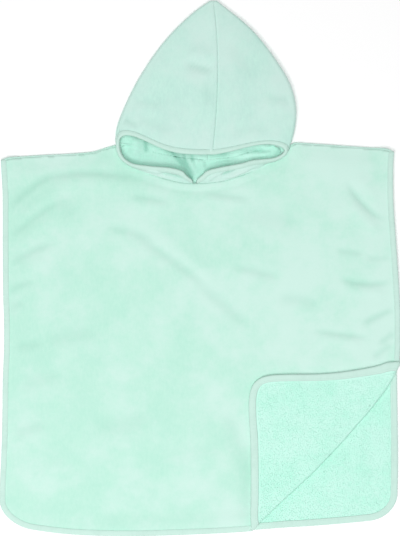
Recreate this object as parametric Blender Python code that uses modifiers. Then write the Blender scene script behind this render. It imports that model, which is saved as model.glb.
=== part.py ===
"""Hooded bath poncho for a small child, laid out flat on its back.

Towelling front and back panels are joined along the shoulders and open at the sides.
A two-piece hood rises from the neck, and tape binds every free edge.  One lower corner
of the front is turned up.  Lengths are millimetres until a mesh is made.
"""

from collections import namedtuple

import bmesh
import bpy
import numpy as np
from mathutils import Vector
from mathutils.geometry import delaunay_2d_cdt

MM = 0.001

# ---------------------------------------------------------------- cloth and seams
CLOTH = 2.4                # wall of the towelling
TAPE = 0.8                 # wall of the binding tape
SEAM_GAP = 0.3             # air between two pieces that are sewn together
TAPE_OFF = CLOTH / 2 + SEAM_GAP + TAPE / 2        # panel middle to tape middle
TAPE_OUT = 1.1             # tape middle beyond the cut edge
BOUND_HALF = TAPE_OFF + TAPE / 2                  # half the height of a bound edge

# ---------------------------------------------------------------- levels above the surface
BACK_LEVEL = CLOTH / 2
BACK_EDGE = BOUND_HALF
FRONT_LEVEL = CLOTH * 1.5 + SEAM_GAP
FRONT_EDGE = 3 * BOUND_HALF + SEAM_GAP
FRONT_LOFT = 2.5           # air under the middle of the front
LOFT_RUN = 60.0            # distance over which that air builds up
LEAST_AIR = 0.3            # share of it left in the deepest trough
EDGE_FLAT = 12.0           # level strip along a bound edge
EDGE_RUN = 26.0            # slope from that strip down to the panel

# ---------------------------------------------------------------- mesh pitch
STATION = 32.0             # longest step along a bound edge
STATION_TURN = 18.0        # and the largest turn in one step, degrees
FRONT_PITCH = 25.0
BACK_PITCH = 34.0
OPEN_STEP = 15.0           # along the shoulders and the neck
RING_GAP = 1.0             # row of points this far inside the tape
ROW_PITCH = 0.87           # rows of an even triangle grid
CLEAR_EDGE = 0.45          # grid points keep this share of the pitch from the edges,
CLEAR_POINT = 0.55         # from other fixed points
CLEAR_LINE = 0.4           # and from the folds
FINE = 1.0                 # step of the smooth outlines the stations are taken from
COARSE = 4.0               # and of the shoulders and the neck

# ---------------------------------------------------------------- outline of the panels (x, y)
LEFT_SHOULDER = [(-317, 173.5), (-311, 175.5), (-256, 180.5), (-208, 183), (-176, 185.5),
                 (-163, 188.5), (-145.5, 194), (-137, 196), (-130.5, 196.5)]
RIGHT_SHOULDER = [(140, 188), (143.5, 194.5), (150, 199.8), (157, 200.9), (192, 198.5),
                  (256, 194), (302.5, 190), (308.5, 187)]
LEFT_EDGE = [(-317, 170.5), (-316, 157), (-314.5, 133), (-313.5, 109), (-313.5, 37),
             (-313, -35), (-311.5, -83), (-311.5, -131), (-313.5, -179), (-314, -227),
             (-315, -275), (-317, -323), (-318.3, -350.5), (-318.5, -371)]
FRONT_RIGHT_EDGE = [(308.5, 183), (307.5, 173), (307, 157), (307, 117), (308.5, 85),
                    (310.5, 56), (313.5, 13), (316.5, -35), (318.3, -70.5), (318.5, -102.5),
                    (318.3, -128), (317, -144)]
BACK_RIGHT_EDGE = [(306.5, 183), (305.5, 157), (305.5, 117), (307, 85), (311, 13),
                   (313.5, -43), (315, -107), (314.6, -155), (315, -195), (316, -259),
                   (316.2, -323), (315.5, -360)]
HEM_LEFT = [(-265.5, -416.8), (-230.5, -421.7), (-192, -425), (-145.5, -426.7),
            (-117, -427.1), (-88, -426.8), (-32, -425), (22.5, -422.8), (64, -420.3),
            (83, -418.8)]
HEM_RIGHT = [(96, -418), (134.5, -415), (173, -412.8), (211, -409.8), (240, -407.3),
             (269, -404.3)]
LEFT_CORNER = (-318.8, -409)
RIGHT_CORNER = (315.6, -402)
BACK_INSET = 1.4           # the back lies this far inside the front
INSET_RUN = 40.0

# ---------------------------------------------------------------- turned-up corner
FOLD_START = (90.5, -412.0)
FOLD_END = (316.0, -156.0)
FOLD_RADIUS = 3.0
FOLD_STEPS = 8             # facets round the turn
FOLD_POINTS = 13           # points along it
FOLD_CLEAR = 20.0          # no other station this near the turn
FOLD_LEAN = 24.0           # distance over which the sections swing parallel to the fold
# bulge of the fold outside the straight line, (share of its length, millimetres)
FOLD_BULGE = [(-0.2, -3.0), (0.0, 0.0), (0.2, 6.5), (0.36, 11.5), (0.52, 14.0), (0.67, 14.3),
              (0.8, 13.3), (0.92, 9.0), (1.0, 1.0), (1.08, -8.0)]
# edge of the corner as it lies, from the side edge round to the hem (x, y)
TURNED_EDGE = [(301, -152.5), (285, -157.5), (256, -163.3), (219, -168.6), (181, -171),
               (142.5, -171.3), (112, -172.8), (95.5, -178), (85.2, -188.5), (80.4, -205),
               (79.6, -227), (80.6, -249.5), (82.4, -275), (83.2, -323), (83, -371),
               (82.4, -396)]
PRESS = 0.7                # share of the loft lost under the turned corner,
PRESS_IN = 230.0           # which reaches this far inside the fold
PRESS_TOP = -150.0         # and up to this level
PRESS_RUN = 60.0
REST_RUN = 40.0            # distance over which the corner comes to rest on the panel
REST_DROP = 1.5            # most that it comes down over that

# ---------------------------------------------------------------- folds in the panels
Crease = namedtuple("Crease", "x0 y0 x1 y1 bow width height")
CREASE_FADE = 0.3          # share of its length over which a fold dies out
CREASE_STEP = 22.0         # between points along it
CREASE_ENDS = 0.08         # share of it left without points at either end
OPEN_RUN = 30.0            # the folds die out towards the shoulders and the neck
FRONT_CREASES = [
    #       x0    y0    x1    y1   bow width height
    Crease(-306, 112, -120, 170, 16, 13, 3.6),        # ridge along the left shoulder
    Crease(-300, 88, -128, 146, 16, 11, -2.6),        # trough under it
    Crease(-300, 62, -236, 116, 8, 10, 2.2),
    Crease(-299, 38, -240, 98, 8, 9, -2.0),
    Crease(-299, -8, -232, 34, 6, 10, -2.0),
    Crease(-112, 117, -52, 108, -3, 8, -2.2),         # sag below the neck
    Crease(2, 116, 66, 117, -3, 8, -2.0),
    Crease(-136, 66, 78, -92, 6, 12, -2.4),           # long diagonal drag line
    Crease(-110, 78, 100, -76, 6, 16, 1.8),
    Crease(226, 138, 298, 68, -5, 13, -2.4),
    Crease(236, 156, 304, 96, -5, 13, 2.2),
    Crease(214, -20, 300, -30, 0, 10, -2.0),
    Crease(186, -106, 270, -96, 6, 12, 1.6),
]
BACK_CREASES = [
    Crease(226, -380, 284, -322, 4, 13, 1.6),
]

# ---------------------------------------------------------------- hood
# One row per section from the front of the neck round to the centre seam: where it
# leaves the neck, its outermost point when it lies back, where it meets the rim; the
# heights at the neck, of the layer that lies back and at the rim; the radius of its
# turn; how far it lies back (0 stands up) and the sideways bow of its upper layer.
Section = namedtuple("Section", "neck_x neck_y fold_x fold_y rim_x rim_y "
                                "neck_z bed_z rim_z turn lies bow")
HOOD_LEFT = [
    #        neck_x neck_y  fold_x fold_y  rim_x  rim_y neck_z bed_z rim_z turn lies bow
    Section(-10.5, 134.5, -12.5, 139.5, -12.5, 139.5, 4.0, 6.0, 8.5, 3.0, 0, 0),
    Section(-21.5, 134.5, -22.0, 146.5, -22.0, 146.5, 4.0, 6.0, 12.0, 3.0, 0, 0),
    Section(-38.0, 137.0, -30.0, 153.5, -30.0, 153.5, 4.0, 6.0, 13.5, 3.0, 0, 0),
    Section(-57.0, 142.0, -49.0, 158.5, -49.0, 158.5, 4.0, 6.0, 14.0, 3.5, 0, 0),
    Section(-79.5, 149.5, -78.5, 160.8, -78.5, 160.8, 4.0, 6.0, 13.5, 4.0, 0, 0),
    Section(-103.0, 159.5, -107.0, 165.0, -107.0, 165.0, 4.0, 6.0, 13.5, 5.0, 0, 0),
    Section(-119.0, 170.5, -126.0, 176.0, -122.5, 173.5, 4.0, 6.0, 14.0, 6.0, 0, 0),
    Section(-126.0, 184.0, -134.0, 190.0, -130.5, 186.5, 4.4, 6.0, 16.0, 7.0, 0, 0),
    Section(-127.0, 197.0, -137.0, 204.0, -131.5, 198.5, 4.8, 4.8, 17.2, 7.5, 0.2, 0),
    Section(-119.0, 198.0, -136.5, 216.0, -129.5, 208.5, 3.4, 1.2, 17.6, 7.5, 1, 0),
    Section(-101.0, 192.5, -130.5, 238.0, -117.0, 216.5, 1.6, 1.2, 18.8, 7.0, 1, 1),
    Section(-77.0, 185.5, -112.5, 277.5, -91.0, 206.0, 1.2, 1.2, 21.5, 6.5, 1, 2),
    Section(-53.5, 180.0, -79.5, 332.0, -61.5, 192.0, 1.2, 1.2, 24.5, 5.5, 1, 4),
    Section(-31.5, 176.0, -47.0, 375.0, -35.0, 185.0, 1.2, 1.2, 25.5, 4.5, 1, 6),
    Section(-10.0, 173.7, -14.5, 408.5, -7.0, 182.5, 1.2, 1.2, 26.0, 4.0, 1, 8),
    Section(6.5, 173.0, 16.5, 428.5, 14.5, 182.5, 1.2, 1.2, 26.0, 3.5, 1, 8),
]
HOOD_RIGHT = [
    Section(-6.5, 134.5, -5.0, 139.5, -5.0, 139.5, 4.0, 6.0, 8.5, 3.0, 0, 0),
    Section(8.5, 134.5, 3.5, 146.0, 3.5, 146.0, 4.0, 6.0, 12.0, 3.0, 0, 0),
    Section(25.5, 136.0, 13.5, 154.0, 13.5, 154.0, 4.0, 6.0, 14.0, 3.0, 0, 0),
    Section(47.5, 140.5, 34.0, 159.5, 34.0, 159.5, 4.0, 6.0, 14.5, 3.5, 0, 0),
    Section(70.5, 148.5, 64.5, 165.0, 64.5, 165.0, 4.0, 6.0, 14.0, 4.0, 0, 0),
    Section(90.5, 158.0, 85.0, 170.5, 85.0, 170.5, 4.0, 6.0, 13.5, 4.5, 0, 0),
    Section(106.0, 167.0, 106.5, 172.5, 106.5, 172.5, 4.0, 6.0, 13.0, 5.0, 0, 0),
    Section(118.5, 171.5, 124.5, 174.5, 121.0, 174.0, 4.0, 6.0, 13.5, 4.0, 0, 0),
    Section(128.5, 178.0, 136.0, 179.5, 132.0, 178.5, 4.0, 6.5, 14.8, 4.0, 0, 0),
    Section(132.5, 187.0, 143.5, 184.0, 138.5, 185.5, 4.6, 6.5, 16.2, 4.5, 0.2, 0),
    Section(128.0, 196.5, 149.0, 197.0, 136.0, 192.3, 4.8, 5.4, 17.3, 6.0, 0.7, 0),
    Section(116.0, 197.0, 151.5, 221.0, 125.5, 196.8, 3.2, 1.2, 18.4, 7.5, 1, 0),
    Section(99.0, 190.0, 154.7, 251.0, 109.0, 199.0, 1.2, 1.2, 20.6, 7.0, 1, 2),
    Section(71.0, 181.5, 139.2, 304.0, 82.5, 195.5, 1.2, 1.2, 24.0, 6.0, 1, 5),
    Section(43.5, 175.5, 86.5, 376.5, 49.5, 187.3, 1.2, 1.2, 25.5, 4.8, 1, 7),
    Section(16.5, 173.0, 26.5, 428.5, 24.5, 182.5, 1.2, 1.2, 26.0, 3.5, 1, 8),
]
SIDE_BED = 6.0             # a layer this high has first gone straight up from the neck
STRAIGHT_UP = 0.2          # share of the lower layer spent on that
FRONT_NECK_ROWS = {"left": 7, "right": 9}     # last rows sewn to the front panel
BACK_NECK_ROWS = {"left": 9, "right": 11}     # first rows sewn to the back panel
ROW_STEP = 0.5             # rows of the table between two rays,
END_ROWS = (6.0, 11.0)     # and round the ends of the mouth
END_ROW_STEP = {"left": 0.25, "right": 0.5}
HOOD_UNDER = 3             # steps across the lower layer,
HOOD_TURN = 4              # round the turn
HOOD_UPPER = 4             # and across the upper layer, up to the tape
FINE_STEPS = 12            # points taken per step when a length is measured
LOWER_SHARE = 0.7          # most of a short section that the lower layer and turn may take
STANDING_BEND = np.array([0.36, 0.36, 0.62])     # shares of the way at its middle
STANDING_BOW = 0.7         # how far it bows towards the outermost point
EASED_ROWS = (5.0, 8.0, 10.5, 13.5)             # rows blended with their neighbours, most
EASED_BY = {"left": 0.55, "right": 0.7}         # between the middle two, this far apart
EASED_WEIGHTS = (1, 4, 6, 4, 1)
UPPER_LEAD = 0.3           # share of the way over which the upper layer leaves the turn
UPPER_LEAD_MOST = 40.0     # square to it, and comes in to the rim
CROWN_RISE = 1.6           # how soon the upper layer gains its height
SEAM_BAND = 5.0            # level strip beside the centre seam
NECK_CLEAR = CLOTH / 2 + SEAM_GAP + 0.2       # hood middle to the front's neck edge
NAPE_CLEAR = SEAM_GAP + 0.1                   # hood edge to the back's neck edge
SIDE_CLEAR = 4.2           # the same beside the shoulder seams
FRONT_SIDE_RUN = 60.0      # over which one passes into the other
BACK_SIDE_RUN = 24.0
NECK_RIDGE = 1.6           # seam allowance under the front's neck edge
NECK_RIDGE_AT = 4.5
NECK_RIDGE_WIDTH = 4.0
NECK_RIDGE_TOP = 152.0     # level at which it has died out
NECK_RIDGE_RUN = 12.0

# ---------------------------------------------------------------- binding
# cross-section of the tape, (distance inside the edge, height off the panel's middle)
TAPE_OUTSIDE = 7.5
TAPE_INSIDE = 11.0
TAPE_BEND = -0.3
TAPE_SECTION = [(TAPE_OUTSIDE, TAPE_OFF), (TAPE_BEND, TAPE_OFF), (-TAPE_OUT, 0.9),
                (-TAPE_OUT, -0.9), (TAPE_BEND, -TAPE_OFF), (TAPE_INSIDE, -TAPE_OFF)]
# the rim's tape has more bends, and the hood's mesh has a row of points at each of them
RIM_OFF = TAPE_OFF + 0.45
RIM_OUT = 1.5
NEAR_ROW = 0.05            # steps for taking the direction of the cloth at the rim
NEAR_DEPTH = 0.4
RIM_OUTSIDE = 6.0
RIM_INSIDE = 9.0
RIM_DEPTHS = (RIM_OUTSIDE / 2, RIM_OUTSIDE, RIM_INSIDE)
RIM_SECTION = [(RIM_OUTSIDE, RIM_OFF), (RIM_OUTSIDE / 2, RIM_OFF), (TAPE_BEND, RIM_OFF),
               (-RIM_OUT, 1.1), (-RIM_OUT, -1.1), (TAPE_BEND, -RIM_OFF),
               (RIM_OUTSIDE / 2, -RIM_OFF), (RIM_OUTSIDE, -RIM_OFF),
               (RIM_INSIDE, -RIM_OFF)]
TAPE_SHARE = 0.8           # most of a short section that the tape may cover

# ---------------------------------------------------------------- finish
VELOUR = (0.60, 0.88, 0.79)
TAPE_COLOUR = (0.55, 0.78, 0.70)
CLOTH_ROUGHNESS = 0.95


# ================================================================= curves
def smooth_line(points, step):
    """Catmull-Rom curve through the points, sampled every `step`."""
    pts = np.asarray(points, float)
    pad = np.vstack([2 * pts[0] - pts[1], pts, 2 * pts[-1] - pts[-2]])
    out = []
    for a, b, c, d in zip(pad[:-3], pad[1:-2], pad[2:-1], pad[3:]):
        count = max(1, int(round(np.linalg.norm(c - b) / step)))
        t = (np.arange(count) / count)[:, None]
        out.append(0.5 * (2 * b + (c - a) * t + (2 * a - 5 * b + 4 * c - d) * t ** 2
                          + (3 * b - a - 3 * c + d) * t ** 3))
    return np.vstack(out + [pts[-1:]])


def rounded(start, corner, end, step):
    """Curve from start to end that follows the corner between them."""
    a, c, b = (np.asarray(p, float) for p in (start, corner, end))
    handle = 0.55
    p1, p2 = a + (c - a) * handle, b + (c - b) * handle
    count = max(2, int(round((np.linalg.norm(c - a) + np.linalg.norm(b - c)) / step)))
    t = np.linspace(0, 1, count + 1)[:, None]
    return ((1 - t) ** 3 * a + 3 * (1 - t) ** 2 * t * p1 + 3 * (1 - t) * t ** 2 * p2
            + t ** 3 * b)


def chain(*lines):
    """Join lines end to start, dropping points that repeat."""
    out = [np.asarray(lines[0][0], float)]
    for line in lines:
        for p in line:
            if np.linalg.norm(p - out[-1]) > 1e-6:
                out.append(np.asarray(p, float))
    return np.array(out)


def directions(line):
    """Unit tangent at each point of an open line."""
    t = np.gradient(line, axis=0)
    return t / np.linalg.norm(t, axis=1)[:, None]


def shifted(line, distance):
    """The line moved sideways to its left by the distance (one value or one per point)."""
    t = directions(line)
    side = np.column_stack([-t[:, 1], t[:, 0]])
    return line + side * np.reshape(distance, (-1, 1))


def lengths(line):
    """Distance run along the line at each of its points."""
    return np.concatenate([[0], np.cumsum(np.linalg.norm(np.diff(line, axis=0), axis=1))])


def at_length(line, run, s):
    """Points of the line at the distances s."""
    return np.column_stack([np.interp(s, run, line[:, k]) for k in range(line.shape[1])])


def distance_to(points, line):
    """Distance from each point to a line given by close points."""
    out = np.empty(len(points))
    for k in range(0, len(points), 400):
        part = points[k:k + 400]
        gap = part[:, None, :] - line[None, :, :]
        out[k:k + 400] = np.sqrt((gap ** 2).sum(axis=2).min(axis=1))
    return out


def ease(t):
    """Smooth step from 0 to 1."""
    t = np.clip(t, 0, 1)
    return t * t * (3 - 2 * t)


def inside(points, polygon):
    """Which points lie in the closed polygon."""
    x, y = points[:, 0][:, None], points[:, 1][:, None]
    ax, ay = polygon[:, 0][None], polygon[:, 1][None]
    bx, by = np.roll(ax, -1), np.roll(ay, -1)
    crosses = ((ay > y) != (by > y)) & (x < (bx - ax) * (y - ay) / (by - ay + 1e-12) + ax)
    return crosses.sum(axis=1) % 2 == 1


def crease_heights(points, creases):
    """Sum of the soft ridges and troughs at the points."""
    total = np.zeros(len(points))
    for c in creases:
        start, end = np.array([c.x0, c.y0], float), np.array([c.x1, c.y1], float)
        along = end - start
        length = np.linalg.norm(along)
        along /= length
        side = np.array([-along[1], along[0]])
        t = (points - start) @ along / length
        off = (points - start) @ side - c.bow * 4 * t * (1 - t)
        fade = ease(t / CREASE_FADE) * ease((1 - t) / CREASE_FADE)
        total += c.height * fade * np.exp(-(off / c.width) ** 2)
    return total


# ================================================================= the turned corner
FOLD_O = np.array(FOLD_START)
FOLD_ALONG = np.array(FOLD_END) - FOLD_O
FOLD_LENGTH = np.linalg.norm(FOLD_ALONG)
FOLD_ALONG = FOLD_ALONG / FOLD_LENGTH
FOLD_OUT = np.array([FOLD_ALONG[1], -FOLD_ALONG[0]])
FOLD_RUN = np.pi * FOLD_RADIUS
BULGE_LINE = smooth_line(FOLD_BULGE, 0.01)


def fold_coords(points):
    """Distance along the fold, and beyond it, of points of the flat panel."""
    rel = points - FOLD_O
    along = rel @ FOLD_ALONG
    bulge = np.interp(along / FOLD_LENGTH, BULGE_LINE[:, 0], BULGE_LINE[:, 1])
    bulge = bulge - FOLD_RADIUS - CLOTH / 2
    return along, rel @ FOLD_OUT - bulge, bulge


def from_fold(along, out):
    """Point from its distances along the chord of the fold and outside it."""
    return FOLD_O + np.outer(along, FOLD_ALONG) + np.outer(out, FOLD_OUT)


def unfold(points):
    """Flat position of points seen on the turned corner."""
    along, beyond, bulge = fold_coords(points)
    return from_fold(along, bulge + FOLD_RUN - beyond)


# ================================================================= the neck
def hood_table(side):
    """Hood sections of one side as an array, one row per section."""
    return np.array(HOOD_LEFT if side == "left" else HOOD_RIGHT, float)


def neck_edge(rows, middle_clear, side_run):
    """Neck edge of a panel: the hood's neck line moved out, more so at the shoulders."""
    ring = smooth_line(rows, COARSE)
    run = lengths(ring)
    share = ease(np.minimum(run, run[-1] - run) / side_run)
    edge = shifted(ring, -(SIDE_CLEAR + (middle_clear - SIDE_CLEAR) * share))
    return chain([LEFT_SHOULDER[-1]], edge, [RIGHT_SHOULDER[0]])


def front_neck():
    """Neck edge of the front panel, from the left shoulder to the right."""
    left = hood_table("left")[:FRONT_NECK_ROWS["left"] + 1, :2][::-1]
    right = hood_table("right")[:FRONT_NECK_ROWS["right"] + 1, :2]
    return neck_edge(np.vstack([left, right]), NECK_CLEAR, FRONT_SIDE_RUN)


def back_neck():
    """Neck edge of the back panel, from the left shoulder to the right."""
    left = hood_table("left")[BACK_NECK_ROWS["left"]:, :2]
    right = hood_table("right")[BACK_NECK_ROWS["right"]:, :2][::-1]
    return neck_edge(np.vstack([left, right]), NAPE_CLEAR, BACK_SIDE_RUN)


# ================================================================= panels
class Panel:
    """Flat outline of a panel, and how it lies."""

    def __init__(self, bound, neck, creases, pitch):
        self.bound = bound
        self.neck = neck
        self.creases = creases
        self.pitch = pitch
        self.open_edge = chain(smooth_line(LEFT_SHOULDER, COARSE), neck,
                               smooth_line(RIGHT_SHOULDER, COARSE))
        self.run = lengths(bound)

    def lay(self, points):
        """Flat points to where they lie."""
        raise NotImplementedError

    def normals(self, points, step=0.2):
        """Direction of the outer face at flat points."""
        ex, ey = np.array([step, 0]), np.array([0, step])
        du = self.lay(points + ex) - self.lay(points - ex)
        dv = self.lay(points + ey) - self.lay(points - ey)
        n = np.cross(du, dv)
        return n / np.linalg.norm(n, axis=1)[:, None]

    def extra_stations(self):
        """Distances along the bound edge that must be stations."""
        return []

    def stations(self):
        """Distances along the bound edge: close where it turns, wide where it is straight."""
        heading = np.unwrap(np.arctan2(*directions(self.bound).T[::-1]))
        fixed = sorted(self.extra_stations())
        picked, last = [0.0], 0
        for k in range(1, len(self.run)):
            turned = abs(np.degrees(heading[k] - heading[last]))
            if self.run[k] - self.run[last] >= STATION or turned >= STATION_TURN:
                picked.append(self.run[k])
                last = k
        picked = [s for s in picked if all(abs(s - f) > FOLD_CLEAR for f in fixed)]
        picked = [s for s in picked if self.run[-1] - s > STATION / 4]
        return np.array(sorted(picked + list(fixed) + [self.run[-1]]))

    def edge_frame(self, s):
        """Edge points, and the vector one millimetre inside the edge, at distances s."""
        tangent = at_length(directions(self.bound), self.run, s)
        tangent /= np.linalg.norm(tangent, axis=1)[:, None]
        return at_length(self.bound, self.run, s), self.inward(s, tangent)

    def inward(self, s, tangent):
        """Vector that leads one millimetre inside the edge."""
        return np.column_stack([tangent[:, 1], -tangent[:, 0]])


class BackPanel(Panel):
    """Back panel: flat on the surface, lifted only by its own binding."""

    def lay(self, points):
        gap = distance_to(points, self.bound[::4])
        lift = 1 - ease((gap - EDGE_FLAT) / EDGE_RUN)
        folds = np.maximum(crease_heights(points, self.creases), 0)
        height = BACK_LEVEL + (BACK_EDGE - BACK_LEVEL) * lift + folds * (1 - lift)
        return np.column_stack([points, height])


class FrontPanel(Panel):
    """Front panel: a little air under it, one corner turned up."""

    def flat_height(self, points):
        """Height of the panel's middle over the surface, before the corner is turned."""
        gap = distance_to(points, self.bound[::4])
        lift = 1 - ease((gap - EDGE_FLAT) / EDGE_RUN)
        open_gap = distance_to(points, self.open_edge)
        neck_gap = distance_to(points, self.neck)
        beyond = fold_coords(points)[1]
        pressed = PRESS * (ease((beyond + PRESS_IN) / PRESS_RUN)
                           * ease((PRESS_TOP - points[:, 1]) / PRESS_RUN))
        loft = FRONT_LOFT * ease(np.minimum(gap, open_gap) / LOFT_RUN) * (1 - pressed)
        folds = crease_heights(points, self.creases) * ease(open_gap / OPEN_RUN)
        ridge = NECK_RIDGE * np.exp(-((neck_gap - NECK_RIDGE_AT) / NECK_RIDGE_WIDTH) ** 2)
        ridge *= ease((NECK_RIDGE_TOP - points[:, 1]) / NECK_RIDGE_RUN)
        air = np.maximum(loft + folds, loft * LEAST_AIR) + ridge
        return FRONT_LEVEL + (FRONT_EDGE - FRONT_LEVEL) * lift + air * (1 - lift)

    def lay(self, points):
        along, beyond, bulge = fold_coords(points)
        angle = np.clip(beyond / FOLD_RADIUS, 0, np.pi)
        out = bulge + np.where(beyond < 0, beyond, FOLD_RADIUS * np.sin(angle))
        past = np.maximum(beyond - FOLD_RUN, 0)
        placed = from_fold(along, out - past)
        foot = from_fold(along, bulge)
        base = self.flat_height(np.where(beyond[:, None] < 0, points, foot))
        under = self.flat_height(placed)
        rest = ease(past / REST_RUN)
        resting = base * (1 - rest) + np.maximum(under, base - REST_DROP) * rest
        base = np.where(past > 0, resting, base)
        return np.column_stack([placed, base + FOLD_RADIUS * (1 - np.cos(angle))])

    def fold_crossings(self):
        """Distances along the edge where the turn of the fold passes, per facet line."""
        beyond = fold_coords(self.bound)[1]
        rows = []
        for k in range(FOLD_STEPS + 1):
            gap = beyond - FOLD_RUN * k / FOLD_STEPS
            cuts = np.nonzero(gap[:-1] * gap[1:] < 0)[0][[0, -1]]
            share = gap[cuts] / (gap[cuts] - gap[cuts + 1])
            rows.append(self.run[cuts] + (self.run[cuts + 1] - self.run[cuts]) * share)
        return rows

    def extra_stations(self):
        return [s for pair in self.fold_crossings() for s in pair]

    def inward(self, s, tangent):
        square = super().inward(s, tangent)
        points = at_length(self.bound, self.run, s)
        along, beyond, _ = fold_coords(points)
        slope = np.gradient(BULGE_LINE[:, 1], BULGE_LINE[:, 0]) / FOLD_LENGTH
        tilt = np.interp(along / FOLD_LENGTH, BULGE_LINE[:, 0], slope)
        line = FOLD_ALONG + np.outer(tilt, FOLD_OUT)
        line /= np.linalg.norm(line, axis=1)[:, None]
        line *= np.sign((line * square).sum(axis=1))[:, None]
        near = np.abs(beyond - FOLD_RUN / 2) - FOLD_RUN / 2
        share = 1 - ease((near - 1.0) / FOLD_LEAN)
        lead = square * (1 - share)[:, None] + line * share[:, None]
        return lead / (lead * square).sum(axis=1)[:, None]


def panel_mesh(panel, lines):
    """Triangles over a panel's outline, with rows of points along its edges and lines."""
    pitch = panel.pitch
    edge, lead = panel.edge_frame(panel.stations())
    ring = edge + lead * (TAPE_INSIDE + RING_GAP)
    open_run = lengths(panel.open_edge)
    open_count = int(open_run[-1] / OPEN_STEP)
    open_pts = at_length(panel.open_edge, open_run,
                         np.linspace(0, open_run[-1], open_count + 1))
    for corner in (LEFT_SHOULDER[-1], RIGHT_SHOULDER[0]):
        nearest = np.argmin(np.linalg.norm(open_pts - np.array(corner), axis=1))
        open_pts[nearest] = corner
    outline = chain(edge, open_pts)[:-1]
    verts, edges = list(outline), [(k, (k + 1) % len(outline)) for k in range(len(outline))]
    spokes = list(np.stack([edge, ring], axis=1))
    for line in [ring] + spokes + lines:
        first = len(verts)
        verts += list(line)
        edges += [(first + k, first + k + 1) for k in range(len(line) - 1)]
    fixed = np.array(verts)
    low, high = outline.min(axis=0), outline.max(axis=0)
    grid = np.array([(x + (pitch / 2 if row % 2 else 0), y)
                     for row, y in enumerate(np.arange(low[1], high[1], pitch * ROW_PITCH))
                     for x in np.arange(low[0], high[0], pitch)])
    grid = grid[inside(grid, outline)]
    grid = grid[distance_to(grid, np.vstack([outline, ring])) > pitch * CLEAR_EDGE]
    grid = grid[distance_to(grid, fixed) > pitch * CLEAR_POINT]
    if lines:
        close = np.vstack([at_length(line, lengths(line),
                                     np.arange(0, lengths(line)[-1], COARSE))
                           for line in lines])
        grid = grid[distance_to(grid, close) > pitch * CLEAR_LINE]
    verts += list(grid)
    out = delaunay_2d_cdt([Vector(v) for v in verts], edges, [], 0, 1e-5, False)
    points = np.array([v[:] for v in out[0]])
    tris = np.array(out[2])
    middle = points[tris].mean(axis=1)
    tris = tris[inside(middle, outline)]
    return points, tris


# ================================================================= solids
def cloth_object(name, points, faces, thickness, colour, collection):
    """Open surface in millimetres, thickened to a wall, with its own material."""
    mesh = bpy.data.meshes.new(name)
    bm = bmesh.new()
    verts = [bm.verts.new(Vector(p) * MM) for p in points]
    for face in faces:
        bm.faces.new([verts[k] for k in face])
    bmesh.ops.delete(bm, geom=[v for v in bm.verts if not v.link_faces], context="VERTS")
    bmesh.ops.recalc_face_normals(bm, faces=bm.faces)
    bm.to_mesh(mesh)
    bm.free()
    obj = bpy.data.objects.new(name, mesh)
    collection.objects.link(obj)
    shell = obj.modifiers.new("wall", "SOLIDIFY")
    shell.thickness = thickness * MM
    shell.offset = 0
    material = bpy.data.materials.new(name)
    material.use_nodes = True
    shader = material.node_tree.nodes["Principled BSDF"]
    shader.inputs["Base Color"].default_value = (*colour, 1)
    shader.inputs["Roughness"].default_value = CLOTH_ROUGHNESS
    mesh.materials.append(material)
    return obj


def sheet_faces(count, across, other_way=lambda row, column: False):
    """Triangles over a grid of points kept row by row, each cell cut across one way."""
    faces = []
    for row in range(count - 1):
        for column in range(across - 1):
            a = row * across + column
            b, c, d = a + across, a + across + 1, a + 1
            if other_way(row, column):
                faces += [(a, b, d), (b, c, d)]
            else:
                faces += [(a, b, c), (a, c, d)]
    return faces


def unit(vectors):
    """Vectors along the last axis scaled to length one."""
    return vectors / np.linalg.norm(vectors, axis=-1, keepdims=True)


# ================================================================= tape
def panel_tape(panel):
    """Tape folded over a panel's bound edge, as rows of points across it."""
    s = panel.stations()
    edge, lead = panel.edge_frame(s)
    rows = []
    for depth, off in TAPE_SECTION:
        flat = edge + lead * depth
        rows.append(panel.lay(flat) + panel.normals(flat) * off)
    return np.array(rows).transpose(1, 0, 2)


# ================================================================= hood
def hood_section(side, u):
    """Hood section at the row number u, by Catmull-Rom between rows of the table.

    Past the last row the section only moves sideways, up to the centre seam.
    """
    table = hood_table(side)
    last = len(table) - 1
    k = int(min(np.floor(u), last - 1))
    t = min(u, last) - k
    b, c = table[k], table[k + 1]
    a = table[k - 1] if k > 0 else 2 * b - c
    d = table[k + 2] if k + 2 < len(table) else 2 * c - b
    row = 0.5 * (2 * b + (c - a) * t + (2 * a - 5 * b + 4 * c - d) * t ** 2
                 + (3 * b - a - 3 * c + d) * t ** 3)
    towards = 1 if side == "left" else -1
    across = towards * (max(u - last, 0) * (SEAM_BAND - SEAM_GAP / 2))
    section = Section(*row)
    return section._replace(neck_x=section.neck_x + across, fold_x=section.fold_x + across,
                            rim_x=section.rim_x + across)


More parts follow.
